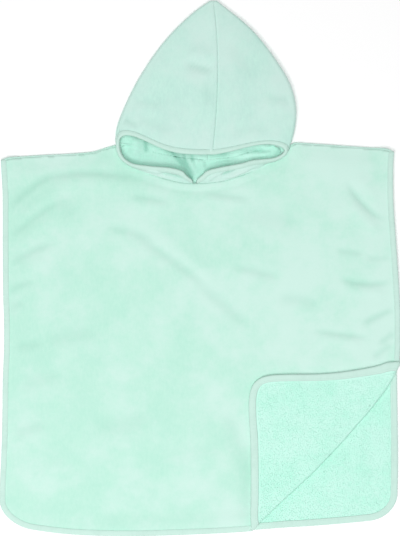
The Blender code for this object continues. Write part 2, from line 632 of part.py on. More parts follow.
def lying_point(r, v, turn_at, way):
    """Point of a section that lies back, turns and comes forward to the rim."""
    steps = HOOD_UNDER + HOOD_TURN + HOOD_UPPER
    under_end, turn_end = HOOD_UNDER / steps, (HOOD_UNDER + HOOD_TURN) / steps
    neck, rim = np.array([r.neck_x, r.neck_y]), np.array([r.rim_x, r.rim_y])
    if v <= under_end:
        t = v / under_end
        raised = float(np.clip((r.bed_z - BACK_LEVEL) / (SIDE_BED - BACK_LEVEL), 0, 1))
        upright = STRAIGHT_UP * raised
        z = r.neck_z + (r.bed_z - r.neck_z) * ease(t / STRAIGHT_UP)
        return np.array([*(neck + (turn_at - neck) * max(t - upright, 0) / (1 - upright)), z])
    if v <= turn_end:
        a = np.pi * (v - under_end) / (turn_end - under_end)
        return np.array([*(turn_at + way * r.turn * np.sin(a)),
                         r.bed_z + r.turn * (1 - np.cos(a))])
    t = (v - turn_end) / (1 - turn_end)
    back = turn_at - rim
    reach = np.linalg.norm(back)
    p1 = turn_at - way * min(UPPER_LEAD * reach, UPPER_LEAD_MOST)
    p2 = rim + back * UPPER_LEAD
    flat = ((1 - t) ** 3 * turn_at + 3 * (1 - t) ** 2 * t * p1 + 3 * (1 - t) * t ** 2 * p2
            + t ** 3 * rim)
    flat[0] += r.bow * np.sin(np.pi * t)
    top = r.bed_z + 2 * r.turn
    return np.array([*flat, top + (r.rim_z - top) * (1 - (1 - t) ** CROWN_RISE)])


def standing_point(r, v):
    """Point of a section that stands up from the neck straight to the rim."""
    start = np.array([r.neck_x, r.neck_y, r.neck_z])
    end = np.array([r.rim_x, r.rim_y, r.rim_z])
    outwards = np.array([r.fold_x - r.rim_x, r.fold_y - r.rim_y, 0])
    lift = start + (end - start) * STANDING_BEND + outwards * STANDING_BOW
    return (1 - v) ** 2 * start + 2 * (1 - v) * v * lift + v ** 2 * end


def hood_ray(side, u, shares):
    """Points from the neck to the rim at the given shares, eased at the ends of the mouth."""
    first, full, leave, last = EASED_ROWS
    reach = EASED_BY[side] * ease((u - first) / (full - first)) * ease((last - u) / (last - leave))
    middle = len(EASED_WEIGHTS) // 2
    return sum(section_ray(side, u + reach * (k - middle), shares) * weight
               for k, weight in enumerate(EASED_WEIGHTS)) / sum(EASED_WEIGHTS)


def section_ray(side, u, shares):
    """Points from the neck to the rim along one section, at the given shares (0 to 1)."""
    r = hood_section(side, u)
    way = unit(np.array([r.fold_x - r.neck_x, r.fold_y - r.neck_y]))
    turn_at = np.array([r.fold_x, r.fold_y]) - way * (r.turn + CLOTH / 2)
    lies = float(np.clip(r.lies, 0, 1))
    points = np.array([standing_point(r, v) * (1 - lies)
                       + lying_point(r, v, turn_at, way) * lies for v in shares])
    points[:, 2] = np.maximum(points[:, 2], BACK_LEVEL)
    return points


def row_numbers(side):
    """Row numbers of the rays, the last one beyond the table at the centre seam."""
    count = len(hood_table(side))
    start, end = END_ROWS
    return np.concatenate([np.arange(0, start, ROW_STEP), np.arange(start, end, END_ROW_STEP[side]),
                           np.arange(end, count - 1, ROW_STEP), [count - 1, count]])


def hood_half(side):
    """Middle surface of one half of the hood, as rows of points."""
    steps = HOOD_UNDER + HOOD_TURN + HOOD_UPPER
    shares = np.linspace(0, 1, FINE_STEPS * steps + 1)
    rows = []
    for u in row_numbers(side):
        ray = hood_ray(side, u, shares)
        run = lengths(ray)
        body = run[-1] - tape_fit(run[-1]) * RIM_INSIDE
        lower = run[:FINE_STEPS * (HOOD_UNDER + HOOD_TURN) + 1:FINE_STEPS]
        lower = lower * min(1, body * LOWER_SHARE / lower[-1])
        upper = np.linspace(lower[-1], body, HOOD_UPPER + 1)[1:-1]
        rows.append(np.vstack([at_length(ray, run, np.concatenate([lower, upper])),
                               rim_points(side, u, RIM_DEPTHS[::-1] + (0,))]))
    return np.array(rows)


def tape_fit(length):
    """Share of its full width that the tape has on a section of this length."""
    return min(1, length * TAPE_SHARE / RIM_INSIDE)


def rim_points(side, u, depths):
    """Hood points at the given distances inside the rim, on one section."""
    steps = HOOD_UNDER + HOOD_TURN + HOOD_UPPER
    ray = hood_ray(side, u, np.linspace(0, 1, FINE_STEPS * steps + 1))
    run = lengths(ray)
    fit = tape_fit(run[-1])
    beyond = unit(ray[-1] - ray[-4])
    return np.array([ray[-1] - beyond * d if d < 0 else at_length(ray, run, [run[-1] - d * fit])[0]
                     for d in depths])


def hood_tape():
    """Tape folded over the rim of the hood, from the throat round and back to it."""
    count = len(HOOD_LEFT)
    path = ([("left", u) for u in row_numbers("left")]
            + [("right", u) for u in row_numbers("right")[::-1][1:]])
    depths, offs = np.array(RIM_SECTION).T
    rows = []
    for side, u in path:
        here = rim_points(side, u, depths)
        around = (rim_points(side, min(u + NEAR_ROW, count), depths)
                  - rim_points(side, max(u - NEAR_ROW, 0), depths))
        deeper = (rim_points(side, u, depths + NEAR_DEPTH)
                  - rim_points(side, u, depths - NEAR_DEPTH))
        normal = unit(np.cross(around, deeper)) * (1 if side == "left" else -1)
        rows.append(here + normal * offs[:, None])
    return np.array(rows)


# ================================================================= build
def bound_outline(right_edge, corner_part, hem, inset):
    """Bound edge from the right shoulder round the hem to the left shoulder."""
    left_corner = rounded(HEM_LEFT[0], LEFT_CORNER, LEFT_EDGE[-1], FINE)
    line = chain(smooth_line([RIGHT_SHOULDER[-1]] + right_edge, FINE), corner_part,
                 smooth_line(hem, FINE), left_corner,
                 smooth_line(LEFT_EDGE[::-1] + [LEFT_SHOULDER[0]], FINE))
    if inset:
        fade = np.minimum(lengths(line), lengths(line)[-1] - lengths(line)) / INSET_RUN
        line = shifted(line, -inset * ease(fade))
    return line


def front_outline():
    """Bound edge of the front in the flat, its turned corner opened out."""
    opened = unfold(np.array(TURNED_EDGE, float))
    knots = np.vstack([FRONT_RIGHT_EDGE[-1:], opened, HEM_LEFT[-1:]])
    return bound_outline(FRONT_RIGHT_EDGE, smooth_line(knots, FINE), HEM_LEFT[::-1], 0)


def back_outline():
    """Bound edge of the back panel."""
    corner = rounded(BACK_RIGHT_EDGE[-1], RIGHT_CORNER, HEM_RIGHT[-1], FINE)
    return bound_outline(BACK_RIGHT_EDGE, corner, HEM_RIGHT[::-1] + HEM_LEFT[::-1],
                         BACK_INSET)


def fold_lines(front):
    """Lines along the turn of the fold, from one edge strip to the other."""
    lines = []
    for k, pair in enumerate(front.fold_crossings()):
        edge, lead = front.edge_frame(np.array(pair))
        ends = edge + lead * (TAPE_INSIDE + RING_GAP)
        start, end = sorted(fold_coords(ends)[0])
        along = np.linspace(start, end, FOLD_POINTS)
        bulge = fold_coords(from_fold(along, along * 0))[2]
        line = from_fold(along, bulge + FOLD_RUN * k / FOLD_STEPS)
        line[[0, -1]] = ends[np.argsort(fold_coords(ends)[0])]
        lines.append(line)
    return lines


def crease_lines(creases):
    """Centre line of each fold, as points to build on."""
    lines = []
    for c in creases:
        start, end = np.array([c.x0, c.y0], float), np.array([c.x1, c.y1], float)
        length = np.linalg.norm(end - start)
        along = (end - start) / length
        side = np.array([-along[1], along[0]])
        t = np.linspace(CREASE_ENDS, 1 - CREASE_ENDS, max(3, int(length / CREASE_STEP)))
        lines.append(start + np.outer(t, end - start)
                     + np.outer(c.bow * 4 * t * (1 - t), side))
    return lines


def main():
    for old in list(bpy.data.objects):
        bpy.data.objects.remove(old, do_unlink=True)
    collection = bpy.data.collections.new("hooded_bath_poncho")
    bpy.context.scene.collection.children.link(collection)

    front = FrontPanel(front_outline(), front_neck(), FRONT_CREASES, FRONT_PITCH)
    back = BackPanel(back_outline(), back_neck(), BACK_CREASES, BACK_PITCH)

    for name, panel, lines in (
            ("front_panel", front, fold_lines(front) + crease_lines(FRONT_CREASES)),
            ("back_panel", back, [])):
        points, tris = panel_mesh(panel, lines)
        cloth_object(name, panel.lay(points), tris.tolist(), CLOTH, VELOUR, collection)
    for name, rows, thickness, colour in (
            ("front_binding", panel_tape(front), TAPE, TAPE_COLOUR),
            ("back_binding", panel_tape(back), TAPE, TAPE_COLOUR),
            ("hood_left", hood_half("left"), CLOTH, VELOUR),
            ("hood_right", hood_half("right"), CLOTH, VELOUR)):
        cloth_object(name, rows.reshape(-1, 3), sheet_faces(*rows.shape[:2]), thickness,
                     colour, collection)
    rows = hood_tape()
    middle, bend = len(rows) // 2, len(RIM_SECTION) // 2
    faces = sheet_faces(*rows.shape[:2],
                        lambda row, column: (row >= middle) != (column >= bend))
    cloth_object("hood_binding", rows.reshape(-1, 3), faces, TAPE, TAPE_COLOUR, collection)


main()
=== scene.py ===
"""Hooded bath poncho for a small child, laid out flat and dressed in towelling.

Front and back panels, a two-piece hood, binding on every free edge, the stitches that hold
it, and the terry loops of the inside where it shows.  Lengths are millimetres until a mesh
is made.
"""
import logging
import math
from collections.abc import Callable, Sequence
from dataclasses import dataclass, field
from enum import Enum
from typing import NamedTuple

import bpy
import numpy as np
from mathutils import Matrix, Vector, noise
from mathutils.geometry import delaunay_2d_cdt


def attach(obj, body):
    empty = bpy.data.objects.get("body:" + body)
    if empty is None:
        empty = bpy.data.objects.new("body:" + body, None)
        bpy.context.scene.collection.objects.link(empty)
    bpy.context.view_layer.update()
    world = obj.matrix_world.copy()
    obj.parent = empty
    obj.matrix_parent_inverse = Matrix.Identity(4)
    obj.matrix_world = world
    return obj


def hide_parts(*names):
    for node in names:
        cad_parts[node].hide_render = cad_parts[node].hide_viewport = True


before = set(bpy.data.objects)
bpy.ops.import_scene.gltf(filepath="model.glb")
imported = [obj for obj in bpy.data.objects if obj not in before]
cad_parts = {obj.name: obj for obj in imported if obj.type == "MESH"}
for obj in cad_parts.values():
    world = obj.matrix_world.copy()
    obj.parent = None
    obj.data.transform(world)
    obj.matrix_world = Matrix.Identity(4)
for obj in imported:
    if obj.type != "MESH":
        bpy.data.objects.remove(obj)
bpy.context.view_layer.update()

log = logging.getLogger("poncho")
logging.basicConfig(level=logging.INFO, format="%(message)s")

MM = 0.001
BODY = "root"
CLOTH = 2.4                # wall of the towelling
TAPE = 0.8                 # wall of the binding tape
SEAM_GAP = 0.3             # air between two pieces that are sewn together
TAPE_OFF = CLOTH / 2 + SEAM_GAP + TAPE / 2
BOUND_HALF = TAPE_OFF + TAPE / 2
RIM_OFF = TAPE_OFF + 0.45  # middle of the tape off the middle of the cloth, at the hood's rim
BACK_INSET = 1.4           # the back's edge lies this far inside the front's
INSET_RUN = 40.0           # and comes to that over this distance
ROW_HEIGHT = 0.87          # rows of even triangles are this share of their pitch apart
CREASE_SHADE_DEPTH = 2.6         # depth at which the painted shade in a crease of a panel is darkest, a fold of the hood and a trough behind the neck, which is only painted
HOOD_SHADE_DEPTH = 3.0           # a fold of the hood
NAPE_SHADE_DEPTH = 4.0           # and a hollow behind the neck
NOISE_GAIN = 1.6           # brings the noise to about -1 to 1
ROUNDNESS = 0.55           # reach of the handles of a rounded corner
SAME = 1e-6                # nearer points count as one
BATCH = 2000               # points handled at a time

Line = Sequence[tuple[float, float]]
Colour = tuple[float, float, float]


class Side(Enum):
    """Half of the hood, as seen from above."""

    LEFT = 1
    RIGHT = -1


class Coords(Enum):
    """What a finish takes its pattern from."""

    CUT = "cut"
    OBJECT = "object"


class Layer(Enum):
    """Part of the hood that a fold lies in."""

    UPPER = "upper"
    LOWER = "lower"
    COLLAR = "collar"


# ================================================================= curves
def spline(a: np.ndarray, b: np.ndarray, c: np.ndarray, d: np.ndarray,
           t: np.ndarray | float) -> np.ndarray:
    """Catmull-Rom curve between the middle two of four points, at shares t of the way."""
    return 0.5 * (2 * b + (c - a) * t + (2 * a - 5 * b + 4 * c - d) * t ** 2
                  + (3 * b - a - 3 * c + d) * t ** 3)


def bezier(a: np.ndarray, p: np.ndarray, q: np.ndarray, b: np.ndarray,
           t: np.ndarray) -> np.ndarray:
    """Cubic curve from a to b with handles p and q, at shares t of the way."""
    return (1 - t) ** 3 * a + 3 * (1 - t) ** 2 * t * p + 3 * (1 - t) * t ** 2 * q + t ** 3 * b


def smooth_line(points: Line, step: float) -> np.ndarray:
    """Catmull-Rom curve through points.

    Args:
        points: Points that it passes.
        step: Distance between samples.

    Returns:
        The samples, one per row.
    """
    pts = np.asarray(points, float)
    pad = np.vstack([2 * pts[0] - pts[1], pts, 2 * pts[-1] - pts[-2]])
    out = []
    for a, b, c, d in zip(pad[:-3], pad[1:-2], pad[2:-1], pad[3:]):
        count = max(1, int(round(np.linalg.norm(c - b) / step)))
        t = (np.arange(count) / count)[:, None]
        out.append(spline(a, b, c, d, t))
    return np.vstack(out + [pts[-1:]])


def rounded(start: Sequence[float], corner: Sequence[float], end: Sequence[float],
            step: float) -> np.ndarray:
    """Curve from start to end that follows the corner between them.

    Args:
        start: First point.
        corner: Corner that it rounds.
        end: Last point.
        step: Distance between samples.

    Returns:
        The samples, one per row.
    """
    a, c, b = (np.asarray(p, float) for p in (start, corner, end))
    p1, p2 = a + (c - a) * ROUNDNESS, b + (c - b) * ROUNDNESS
    count = max(2, int(round((np.linalg.norm(c - a) + np.linalg.norm(b - c)) / step)))
    t = np.linspace(0, 1, count + 1)[:, None]
    return bezier(a, p1, p2, b, t)


def chain(*lines: np.ndarray) -> np.ndarray:
    """Lines joined end to start.

    Args:
        *lines: Lines in order.

    Returns:
        One line without repeated points.
    """
    out = [np.asarray(lines[0][0], float)]
    for line in lines:
        for p in line:
            if np.linalg.norm(p - out[-1]) > SAME:
                out.append(np.asarray(p, float))
    return np.array(out)


def unit(vectors: np.ndarray) -> np.ndarray:
    """Vectors along the last axis scaled to length one."""
    return vectors / np.linalg.norm(vectors, axis=-1, keepdims=True)


def directions(line: np.ndarray) -> np.ndarray:
    """Unit tangent at each point of an open line."""
    return unit(np.gradient(line, axis=0))


def shifted(line: np.ndarray, distance: float | np.ndarray) -> np.ndarray:
    """Line moved to its left by a distance, one value or one per point."""
    t = directions(line)
    return line + np.column_stack([-t[:, 1], t[:, 0]]) * np.reshape(distance, (-1, 1))


def lengths(line: np.ndarray) -> np.ndarray:
    """Distance run along a line at each of its points."""
    return np.concatenate([[0], np.cumsum(np.linalg.norm(np.diff(line, axis=0), axis=1))])


def at_length(line: np.ndarray, run: np.ndarray, s: np.ndarray) -> np.ndarray:
    """Points of a line at distances s, given the distance run at each of its own."""
    return np.column_stack([np.interp(s, run, line[:, k]) for k in range(line.shape[1])])


def distance_to(points: np.ndarray, line: np.ndarray) -> np.ndarray:
    """Distance from points to a line given by close points.

    Args:
        points: Flat points.
        line: Points of the line.

    Returns:
        One distance per point.
    """
    out = np.empty(len(points))
    for k in range(0, len(points), BATCH):
        part = points[k:k + BATCH]
        square = ((part[:, None, 0] - line[None, :, 0]) ** 2
                  + (part[:, None, 1] - line[None, :, 1]) ** 2)
        out[k:k + BATCH] = np.sqrt(square.min(axis=1))
    return out


def ease(t: np.ndarray | float) -> np.ndarray:
    """Smooth step from 0 to 1."""
    t = np.clip(t, 0, 1)
    return t * t * (3 - 2 * t)


def bell(distance: np.ndarray, middle: float, width: float) -> np.ndarray:
    """Bump of height 1 at a middle distance that fades over a width to either side."""
    return np.exp(-((distance - middle) / width) ** 2)


def inside(points: np.ndarray, polygon: np.ndarray) -> np.ndarray:
    """Which points lie in a polygon.

    Args:
        points: Flat points.
        polygon: Closed outline.

    Returns:
        One truth value per point.
    """
    out = np.empty(len(points), bool)
    ax, ay = polygon[:, 0][None], polygon[:, 1][None]
    bx, by = np.roll(ax, -1), np.roll(ay, -1)
    for k in range(0, len(points), BATCH):
        x, y = points[k:k + BATCH, 0][:, None], points[k:k + BATCH, 1][:, None]
        cuts = ((ay > y) != (by > y)) & (x < (bx - ax) * (y - ay) / (by - ay + 1e-12) + ax)
        out[k:k + BATCH] = cuts.sum(axis=1) % 2 == 1
    return out


def ripple(points: np.ndarray, size: float, seed: float) -> np.ndarray:
    """Slow unevenness of cloth.

    Args:
        points: Points, flat or in space.
        size: Distance from one swell to the next.
        seed: Shift that makes each use its own.

    Returns:
        Values around -1 to 1.
    """
    full = np.zeros((len(points), 3))
    full[:, :points.shape[1]] = points / size
    full += seed
    return np.array([noise.noise(Vector(p)) for p in full]) * NOISE_GAIN


def swells(points: np.ndarray, rows: Sequence[tuple[float, float, float]],
           seed: float = 0.0) -> np.ndarray:
    """Swells of soft cloth; each row is a size, a height and a shift of the seed."""
    return sum(ripple(points, size, seed + shift) * height for size, height, shift in rows)


@dataclass(frozen=True)
class Crease:
    """Soft ridge (height above 0) or trough (below 0) along a bowed line."""

    x0: float
    y0: float
    x1: float
    y1: float
    bow: float
    width: float
    height: float
    fade: float = 0.3

    def heights(self, points: np.ndarray) -> np.ndarray:
        """Height that it adds.

        Args:
            points: Flat points.

        Returns:
            One height per point.
        """
        start, end = np.array([self.x0, self.y0]), np.array([self.x1, self.y1])
        along = end - start
        length = np.linalg.norm(along)
        along = along / length
        t = (points - start) @ along / length
        off = (points - start) @ np.array([-along[1], along[0]]) - self.bow * 4 * t * (1 - t)
        fade = ease(t / self.fade) * ease((1 - t) / self.fade)
        return self.height * fade * bell(off, 0, self.width)


def crease_heights(points: np.ndarray, creases: Sequence[Crease]) -> np.ndarray:
    """Sum of the heights of several creases at flat points."""
    return sum((c.heights(points) for c in creases), np.zeros(len(points)))


def crease_list(*rows: tuple[float, ...]) -> list[Crease]:
    """Creases from their numbers."""
    return [Crease(*row) for row in rows]


# ================================================================= finishes
class NodeKit:
    """Nodes of one tree, added and linked in few words."""

    def __init__(self, tree: bpy.types.NodeTree) -> None:
        """Keep the tree that nodes are added to."""
        self.tree = tree

    def add(self, kind: str, settings: dict | None = None, *values: object,
            **inputs: object) -> bpy.types.Node:
        """Add a node.

        Args:
            kind: Its bl_idname.
            settings: Its own properties.
            *values: A value or a socket for each of its first sockets.
            **inputs: The same for sockets by name, spaces written as underscores.

        Returns:
            The node.
        """
        node = self.tree.nodes.new(kind)
        for key, value in (settings or {}).items():
            setattr(node, key, value)
        for socket, value in zip(node.inputs, values):
            self.put(socket, value)
        self.fill(node, **inputs)
        return node

    def fill(self, node: bpy.types.Node, **inputs: object) -> None:
        """Fill sockets of a node by name, spaces written as underscores."""
        for key, value in inputs.items():
            self.put(node.inputs[key.replace("_", " ")], value)

    def put(self, socket: bpy.types.NodeSocket, value: object) -> None:
        """Link a socket to another, or set its value.

        Args:
            socket: Input socket.
            value: Another socket, or a plain value.
        """
        if isinstance(value, bpy.types.NodeSocket):
            self.tree.links.new(value, socket)
        else:
            socket.default_value = value

    def place(self, coords: Coords) -> object:
        """Socket with the place in the cut or on the object.

        Args:
            coords: Which of the two.

        Returns:
            The socket.
        """
        if coords is Coords.CUT:
            return self.add("ShaderNodeUVMap", {"uv_map": "cut"}).outputs[0]
        return self.add("ShaderNodeTexCoord").outputs["Object"]

    def noise(self, vector: object, scale: object, detail: float, rough: float) -> object:
        """Fractal noise with so many swells a metre, octaves and strength of the finer ones."""
        return self.add("ShaderNodeTexNoise", Vector=vector, Scale=scale, Detail=detail,
                        Roughness=rough).outputs["Fac"]

    def maths(self, operation: str, a: object, b: object) -> object:
        """Result of a Math node on two values or sockets."""
        return self.add("ShaderNodeMath", {"operation": operation}, a, b).outputs[0]

    def remap(self, value: object, low: float, high: float) -> object:
        """Value spread softly from low..high to 0..1 and held there."""
        return self.add("ShaderNodeMapRange", {"interpolation_type": "SMOOTHSTEP"}, Value=value,
                        From_Min=low, From_Max=high).outputs["Result"]

    def span(self, value: object, low: float, high: float) -> object:
        """Value spread from 0..1 to low..high."""
        return self.add("ShaderNodeMapRange", Value=value, To_Min=low,
                        To_Max=high).outputs["Result"]

    def mix(self, factor: object, a: object, b: object) -> object:
        """Colour between two colours.

        Args:
            factor: Share of the second.
            a: First colour.
            b: Second colour.

        Returns:
            The socket with the colour.
        """
        node = self.add("ShaderNodeMix", {"data_type": "RGBA"}, factor)
        self.put(node.inputs[6], a)
        self.put(node.inputs[7], b)
        return node.outputs[2]

    def bump(self, height: object, strength: float, distance: float) -> object:
        """Normal of a bumped surface, from its height, strength and distance in metres."""
        return self.add("ShaderNodeBump", Strength=strength, Distance=distance,
                        Height=height).outputs["Normal"]


def new_group(name: str, inputs: dict[str, str], outputs: dict[str, str],
              ) -> tuple[NodeKit, bpy.types.NodeOutputs, bpy.types.NodeInputs]:
    """Empty shader node group.

    Args:
        name: Its name.
        inputs: Socket kinds by name.
        outputs: Socket kinds by name.

    Returns:
        Its kit, what is given to it and what it gives.
    """
    tree = bpy.data.node_groups.new(name, "ShaderNodeTree")
    for sockets, way in ((inputs, "INPUT"), (outputs, "OUTPUT")):
        for label, kind in sockets.items():
            tree.interface.new_socket(label, in_out=way, socket_type="NodeSocket" + kind)
    kit = NodeKit(tree)
    return kit, kit.add("NodeGroupInput").outputs, kit.add("NodeGroupOutput").inputs


@dataclass
class Effects:
    """Shader node groups that more than one finish uses."""

    comb: tuple[float, float, float] = (1.0, 0.4, 1.0)
    broad_share: float = 0.4
    fine_share: float = 0.6
    lie_range: tuple[float, float] = (0.34, 0.66)
    cloud_scale: float = 0.4
    cloud_range: tuple[float, float] = (0.33, 0.65)
    curl_scale: float = 0.7
    sway: float = 1.3
    fuzz_scale: float = 2.3
    fuzz_share: float = 0.6
    tuft_shade_range: tuple[float, float] = (0.35, 0.8)

    def __post_init__(self) -> None:
        """Build each group once."""
        self.nap = self.build_nap()
        self.pile = self.build_pile()

    def build_nap(self) -> bpy.types.NodeTree:
        """Cloudy patches where the nap lies one way or the other, plus painted light fall-off.

        Returns:
            The group.
        """
        kit, given, out = new_group(
            "brushed_nap",
            {"Vector": "Vector", "Light": "Color", "Dark": "Color", "Pale": "Color",
             "Patches": "Float", "Strokes": "Float", "Lean": "Vector"},
            {"Colour": "Color", "Lie": "Float"})
        place, patches = given["Vector"], given["Patches"]
        combed = kit.add("ShaderNodeMapping", Vector=place, Scale=self.comb).outputs[0]
        broad = kit.maths("MULTIPLY", kit.noise(place, patches, 3.0, 0.6), self.broad_share)
        fine = kit.noise(combed, given["Strokes"], 3.0, 0.65)
        fine = kit.maths("MULTIPLY", fine, self.fine_share)
        lie = kit.remap(kit.maths("ADD", broad, fine), *self.lie_range)
        # the lean tilts the pale cloud to one side: a painted fall-off of light across the cloth
        lean = kit.add("ShaderNodeVectorMath", {"operation": "DOT_PRODUCT"}, place, given["Lean"])
        cloud = kit.noise(place, kit.maths("MULTIPLY", patches, self.cloud_scale), 5.0, 0.68)
        cloud = kit.remap(kit.maths("ADD", cloud, lean.outputs["Value"]), *self.cloud_range)
        brushed = kit.mix(lie, given["Dark"], given["Light"])
        kit.put(out["Colour"], kit.mix(cloud, brushed, given["Pale"]))
        kit.put(out["Lie"], lie)
        return kit.tree

    def build_pile(self) -> bpy.types.NodeTree:
        """Fine tufts: a height and a mask of the gaps between them, where shade is painted.

        Returns:
            The group.
        """
        kit, given, out = new_group("pile_tufts", {"Vector": "Vector", "Tufts": "Float"},
                                    {"Height": "Float", "Hollow": "Float"})
        place, count = given["Vector"], given["Tufts"]
        curl = kit.add("ShaderNodeTexNoise", Vector=place, Detail=1.0,
                       Scale=kit.maths("MULTIPLY", count, self.curl_scale))
        sway = kit.add("ShaderNodeVectorMath", {"operation": "SCALE"},
                       Vector=curl.outputs["Color"], Scale=kit.maths("DIVIDE", self.sway, count))
        swayed = kit.add("ShaderNodeVectorMath", {"operation": "ADD"}, place,
                         sway.outputs["Vector"])
        tufts = kit.add("ShaderNodeTexVoronoi", {"feature": "F1"}, Vector=swayed.outputs[0],
                        Scale=count, Randomness=1.0).outputs["Distance"]
        fuzz = kit.noise(place, kit.maths("MULTIPLY", count, self.fuzz_scale), 2.0, 0.7)
        kit.put(out["Height"], kit.maths("ADD", kit.maths("SUBTRACT", 1.0, tufts),
                                         kit.maths("MULTIPLY", fuzz, self.fuzz_share)))
        # gaps between tufts: the mask where shade is painted
        kit.put(out["Hollow"], kit.remap(tufts, *self.tuft_shade_range))
        return kit.tree


@dataclass(frozen=True)
class Finish:
    """What the finishes share: a name and the two colours that the nap varies between."""

    name: str
    light: Colour
    dark: Colour

    def begin(self) -> tuple[bpy.types.Material, NodeKit, bpy.types.Node]:
        """Start the material.

        Returns:
            The material, its kit and its shader.
        """
        material = bpy.data.materials.new(self.name)
        material.use_nodes = True
        tree = material.node_tree
        return material, NodeKit(tree), tree.nodes["Principled BSDF"]

    def nap(self, kit: NodeKit, effects: Effects, **inputs: object) -> bpy.types.NodeOutputs:
        """Brushed nap in the colours of the finish; more inputs of the group by name."""
        return kit.add("ShaderNodeGroup", {"node_tree": effects.nap}, Light=(*self.light, 1),
                       Dark=(*self.dark, 1), **inputs).outputs


@dataclass(frozen=True)
class Towelling(Finish):
    """Cotton cloth with a pile: clipped velour outside, uncut loops inside."""

    pale: Colour
    # colour of the painted shade in the gaps between tufts and at the bottom of creases
    hollow: Colour
    patches: float
    strokes: float
    tufts: float = 1250.0
    bump: float = 0.25
    # share of that painted shade in the gaps between tufts
    depth: float = 0.10
    sheen: float = 0.5
    roughness: float = 0.92
    uneven: float = 0.05
    # share of that painted shade at the bottom of a crease
    creased: float = 0.38
    # pale patches gather along this direction: a painted fall-off of light, greyer on that side
    lean: tuple[float, float, float] = (0.0, 0.0, 0.0)
    coords: Coords = Coords.OBJECT

    def material(self, effects: Effects) -> bpy.types.Material:
        """Its material.

        Args:
            effects: Shared shader groups.

        Returns:
            The material.
        """
        material, kit, shader = self.begin()
        place = kit.place(self.coords)
        nap = self.nap(kit, effects, Vector=place, Pale=(*self.pale, 1), Patches=self.patches,
                       Strokes=self.strokes, Lean=self.lean)
        pile = kit.add("ShaderNodeGroup", {"node_tree": effects.pile}, Vector=place,
                       Tufts=self.tufts).outputs
        # painted shade: darker in the gaps between tufts and in the troughs of creases
        crease = kit.add("ShaderNodeAttribute", {"attribute_name": "crease"}).outputs["Fac"]
        share = kit.maths("ADD", kit.maths("MULTIPLY", pile["Hollow"], self.depth),
                          kit.maths("MULTIPLY", crease, self.creased))
        kit.fill(shader, Base_Color=kit.mix(share, nap["Colour"], (*self.hollow, 1)),
                 Roughness=kit.span(nap["Lie"], self.roughness + self.uneven,
                                    self.roughness - self.uneven),
                 Normal=kit.bump(pile["Height"], self.bump, 0.0008), Sheen_Weight=self.sheen,
                 Sheen_Roughness=0.45, Sheen_Tint=(0.93, 1.0, 0.97, 1), Specular_IOR_Level=0.2)
        return material


@dataclass(frozen=True)
class WovenTape(Finish):
    """Plain cotton tape cut on the bias, its weave running across at an angle."""

    threads: float = 900.0
    bias: float = 45.0

    def material(self, effects: Effects) -> bpy.types.Material:
        """Its material.

        Args:
            effects: Shared shader groups.

        Returns:
            The material.
        """
        material, kit, shader = self.begin()
        along = kit.place(Coords.CUT)
        turned = kit.add("ShaderNodeMapping", Vector=along,
                         Rotation=(0, 0, math.radians(self.bias))).outputs[0]
        waves = [kit.add("ShaderNodeTexWave", {"bands_direction": direction}, Vector=turned,
                         Scale=self.threads / 6.3, Distortion=0.6, Detail=1.0).outputs["Fac"]
                 for direction in ("X", "Y")]
        weave = kit.maths("MULTIPLY", *waves)
        nap = self.nap(kit, effects, Vector=along, Pale=(*self.light, 1), Patches=55.0,
                       Strokes=260.0)
        kit.fill(shader, Base_Color=nap["Colour"], Roughness=kit.span(weave, 0.86, 0.74),
                 Normal=kit.bump(weave, 0.35, 0.0002), Sheen_Weight=0.35)
        return material


@dataclass(frozen=True)
class Thread(Finish):
    """Twisted sewing thread."""

    def material(self, effects: Effects) -> bpy.types.Material:
        """Its material.

        Args:
            effects: Shared shader groups.

        Returns:
            The material.
        """
        material, kit, shader = self.begin()
        nap = self.nap(kit, effects, Vector=kit.place(Coords.OBJECT), Pale=(*self.light, 1),
                       Patches=120.0, Strokes=900.0)
        kit.fill(shader, Base_Color=nap["Colour"], Roughness=0.6,
                 Normal=kit.bump(nap["Lie"], 0.3, 0.0002))
        return material


class Wardrobe:
    """Every finish of the poncho, made once."""

    def __init__(self) -> None:
        """Build the materials."""
        effects = Effects()
        # each towelling's fourth colour is its painted shade; the body's lean paints light falling
        # off, paler and greyer towards the right
        self.velour = Towelling(
            "body_velour", (0.533, 0.846, 0.716), (0.490, 0.816, 0.684), (0.622, 0.860, 0.776),
            (0.36, 0.66, 0.54), patches=24.0, strokes=240.0, lean=(0.26, 0.06, 0.0),
            coords=Coords.CUT).material(effects)
        # hood velour: a greyer copy of the body's velour, painted for the way the hood is lit
        self.shaded_hood_velour = Towelling(
            "shaded_hood_velour", (0.570, 0.860, 0.755), (0.525, 0.795, 0.710), (0.630, 0.842, 0.776),
            (0.38, 0.63, 0.54), patches=20.0, strokes=220.0).material(effects)
        self.terry = Towelling(
            "inside_terry", (0.545, 0.920, 0.785), (0.505, 0.885, 0.745), (0.590, 0.915, 0.805),
            (0.24, 0.54, 0.43), patches=55.0, strokes=300.0, tufts=560.0, bump=0.4, depth=0.06,
            sheen=0.15, creased=0.8).material(effects)
        self.loops = Towelling(
            "terry_loops", (0.512, 0.880, 0.742), (0.482, 0.862, 0.715), (0.545, 0.876, 0.762),
            (0.50, 0.89, 0.75), patches=90.0, strokes=420.0, tufts=1500.0, bump=0.15, depth=0.1,
            sheen=0.2).material(effects)
        self.tape = WovenTape("binding_tape", (0.568, 0.795, 0.710),
                              (0.515, 0.740, 0.655)).material(effects)
        self.thread = Thread("sewing_thread", (0.52, 0.75, 0.67),
                             (0.45, 0.67, 0.59)).material(effects)


# ================================================================= pieces
def add_object(name: str, data: bpy.types.ID) -> bpy.types.Object:
    """New object in the scene.

    Args:
        name: Its name.
        data: Its mesh, light or camera.

    Returns:
        The object.
    """
    obj = bpy.data.objects.new(name, data)
    bpy.context.scene.collection.objects.link(obj)
    return obj


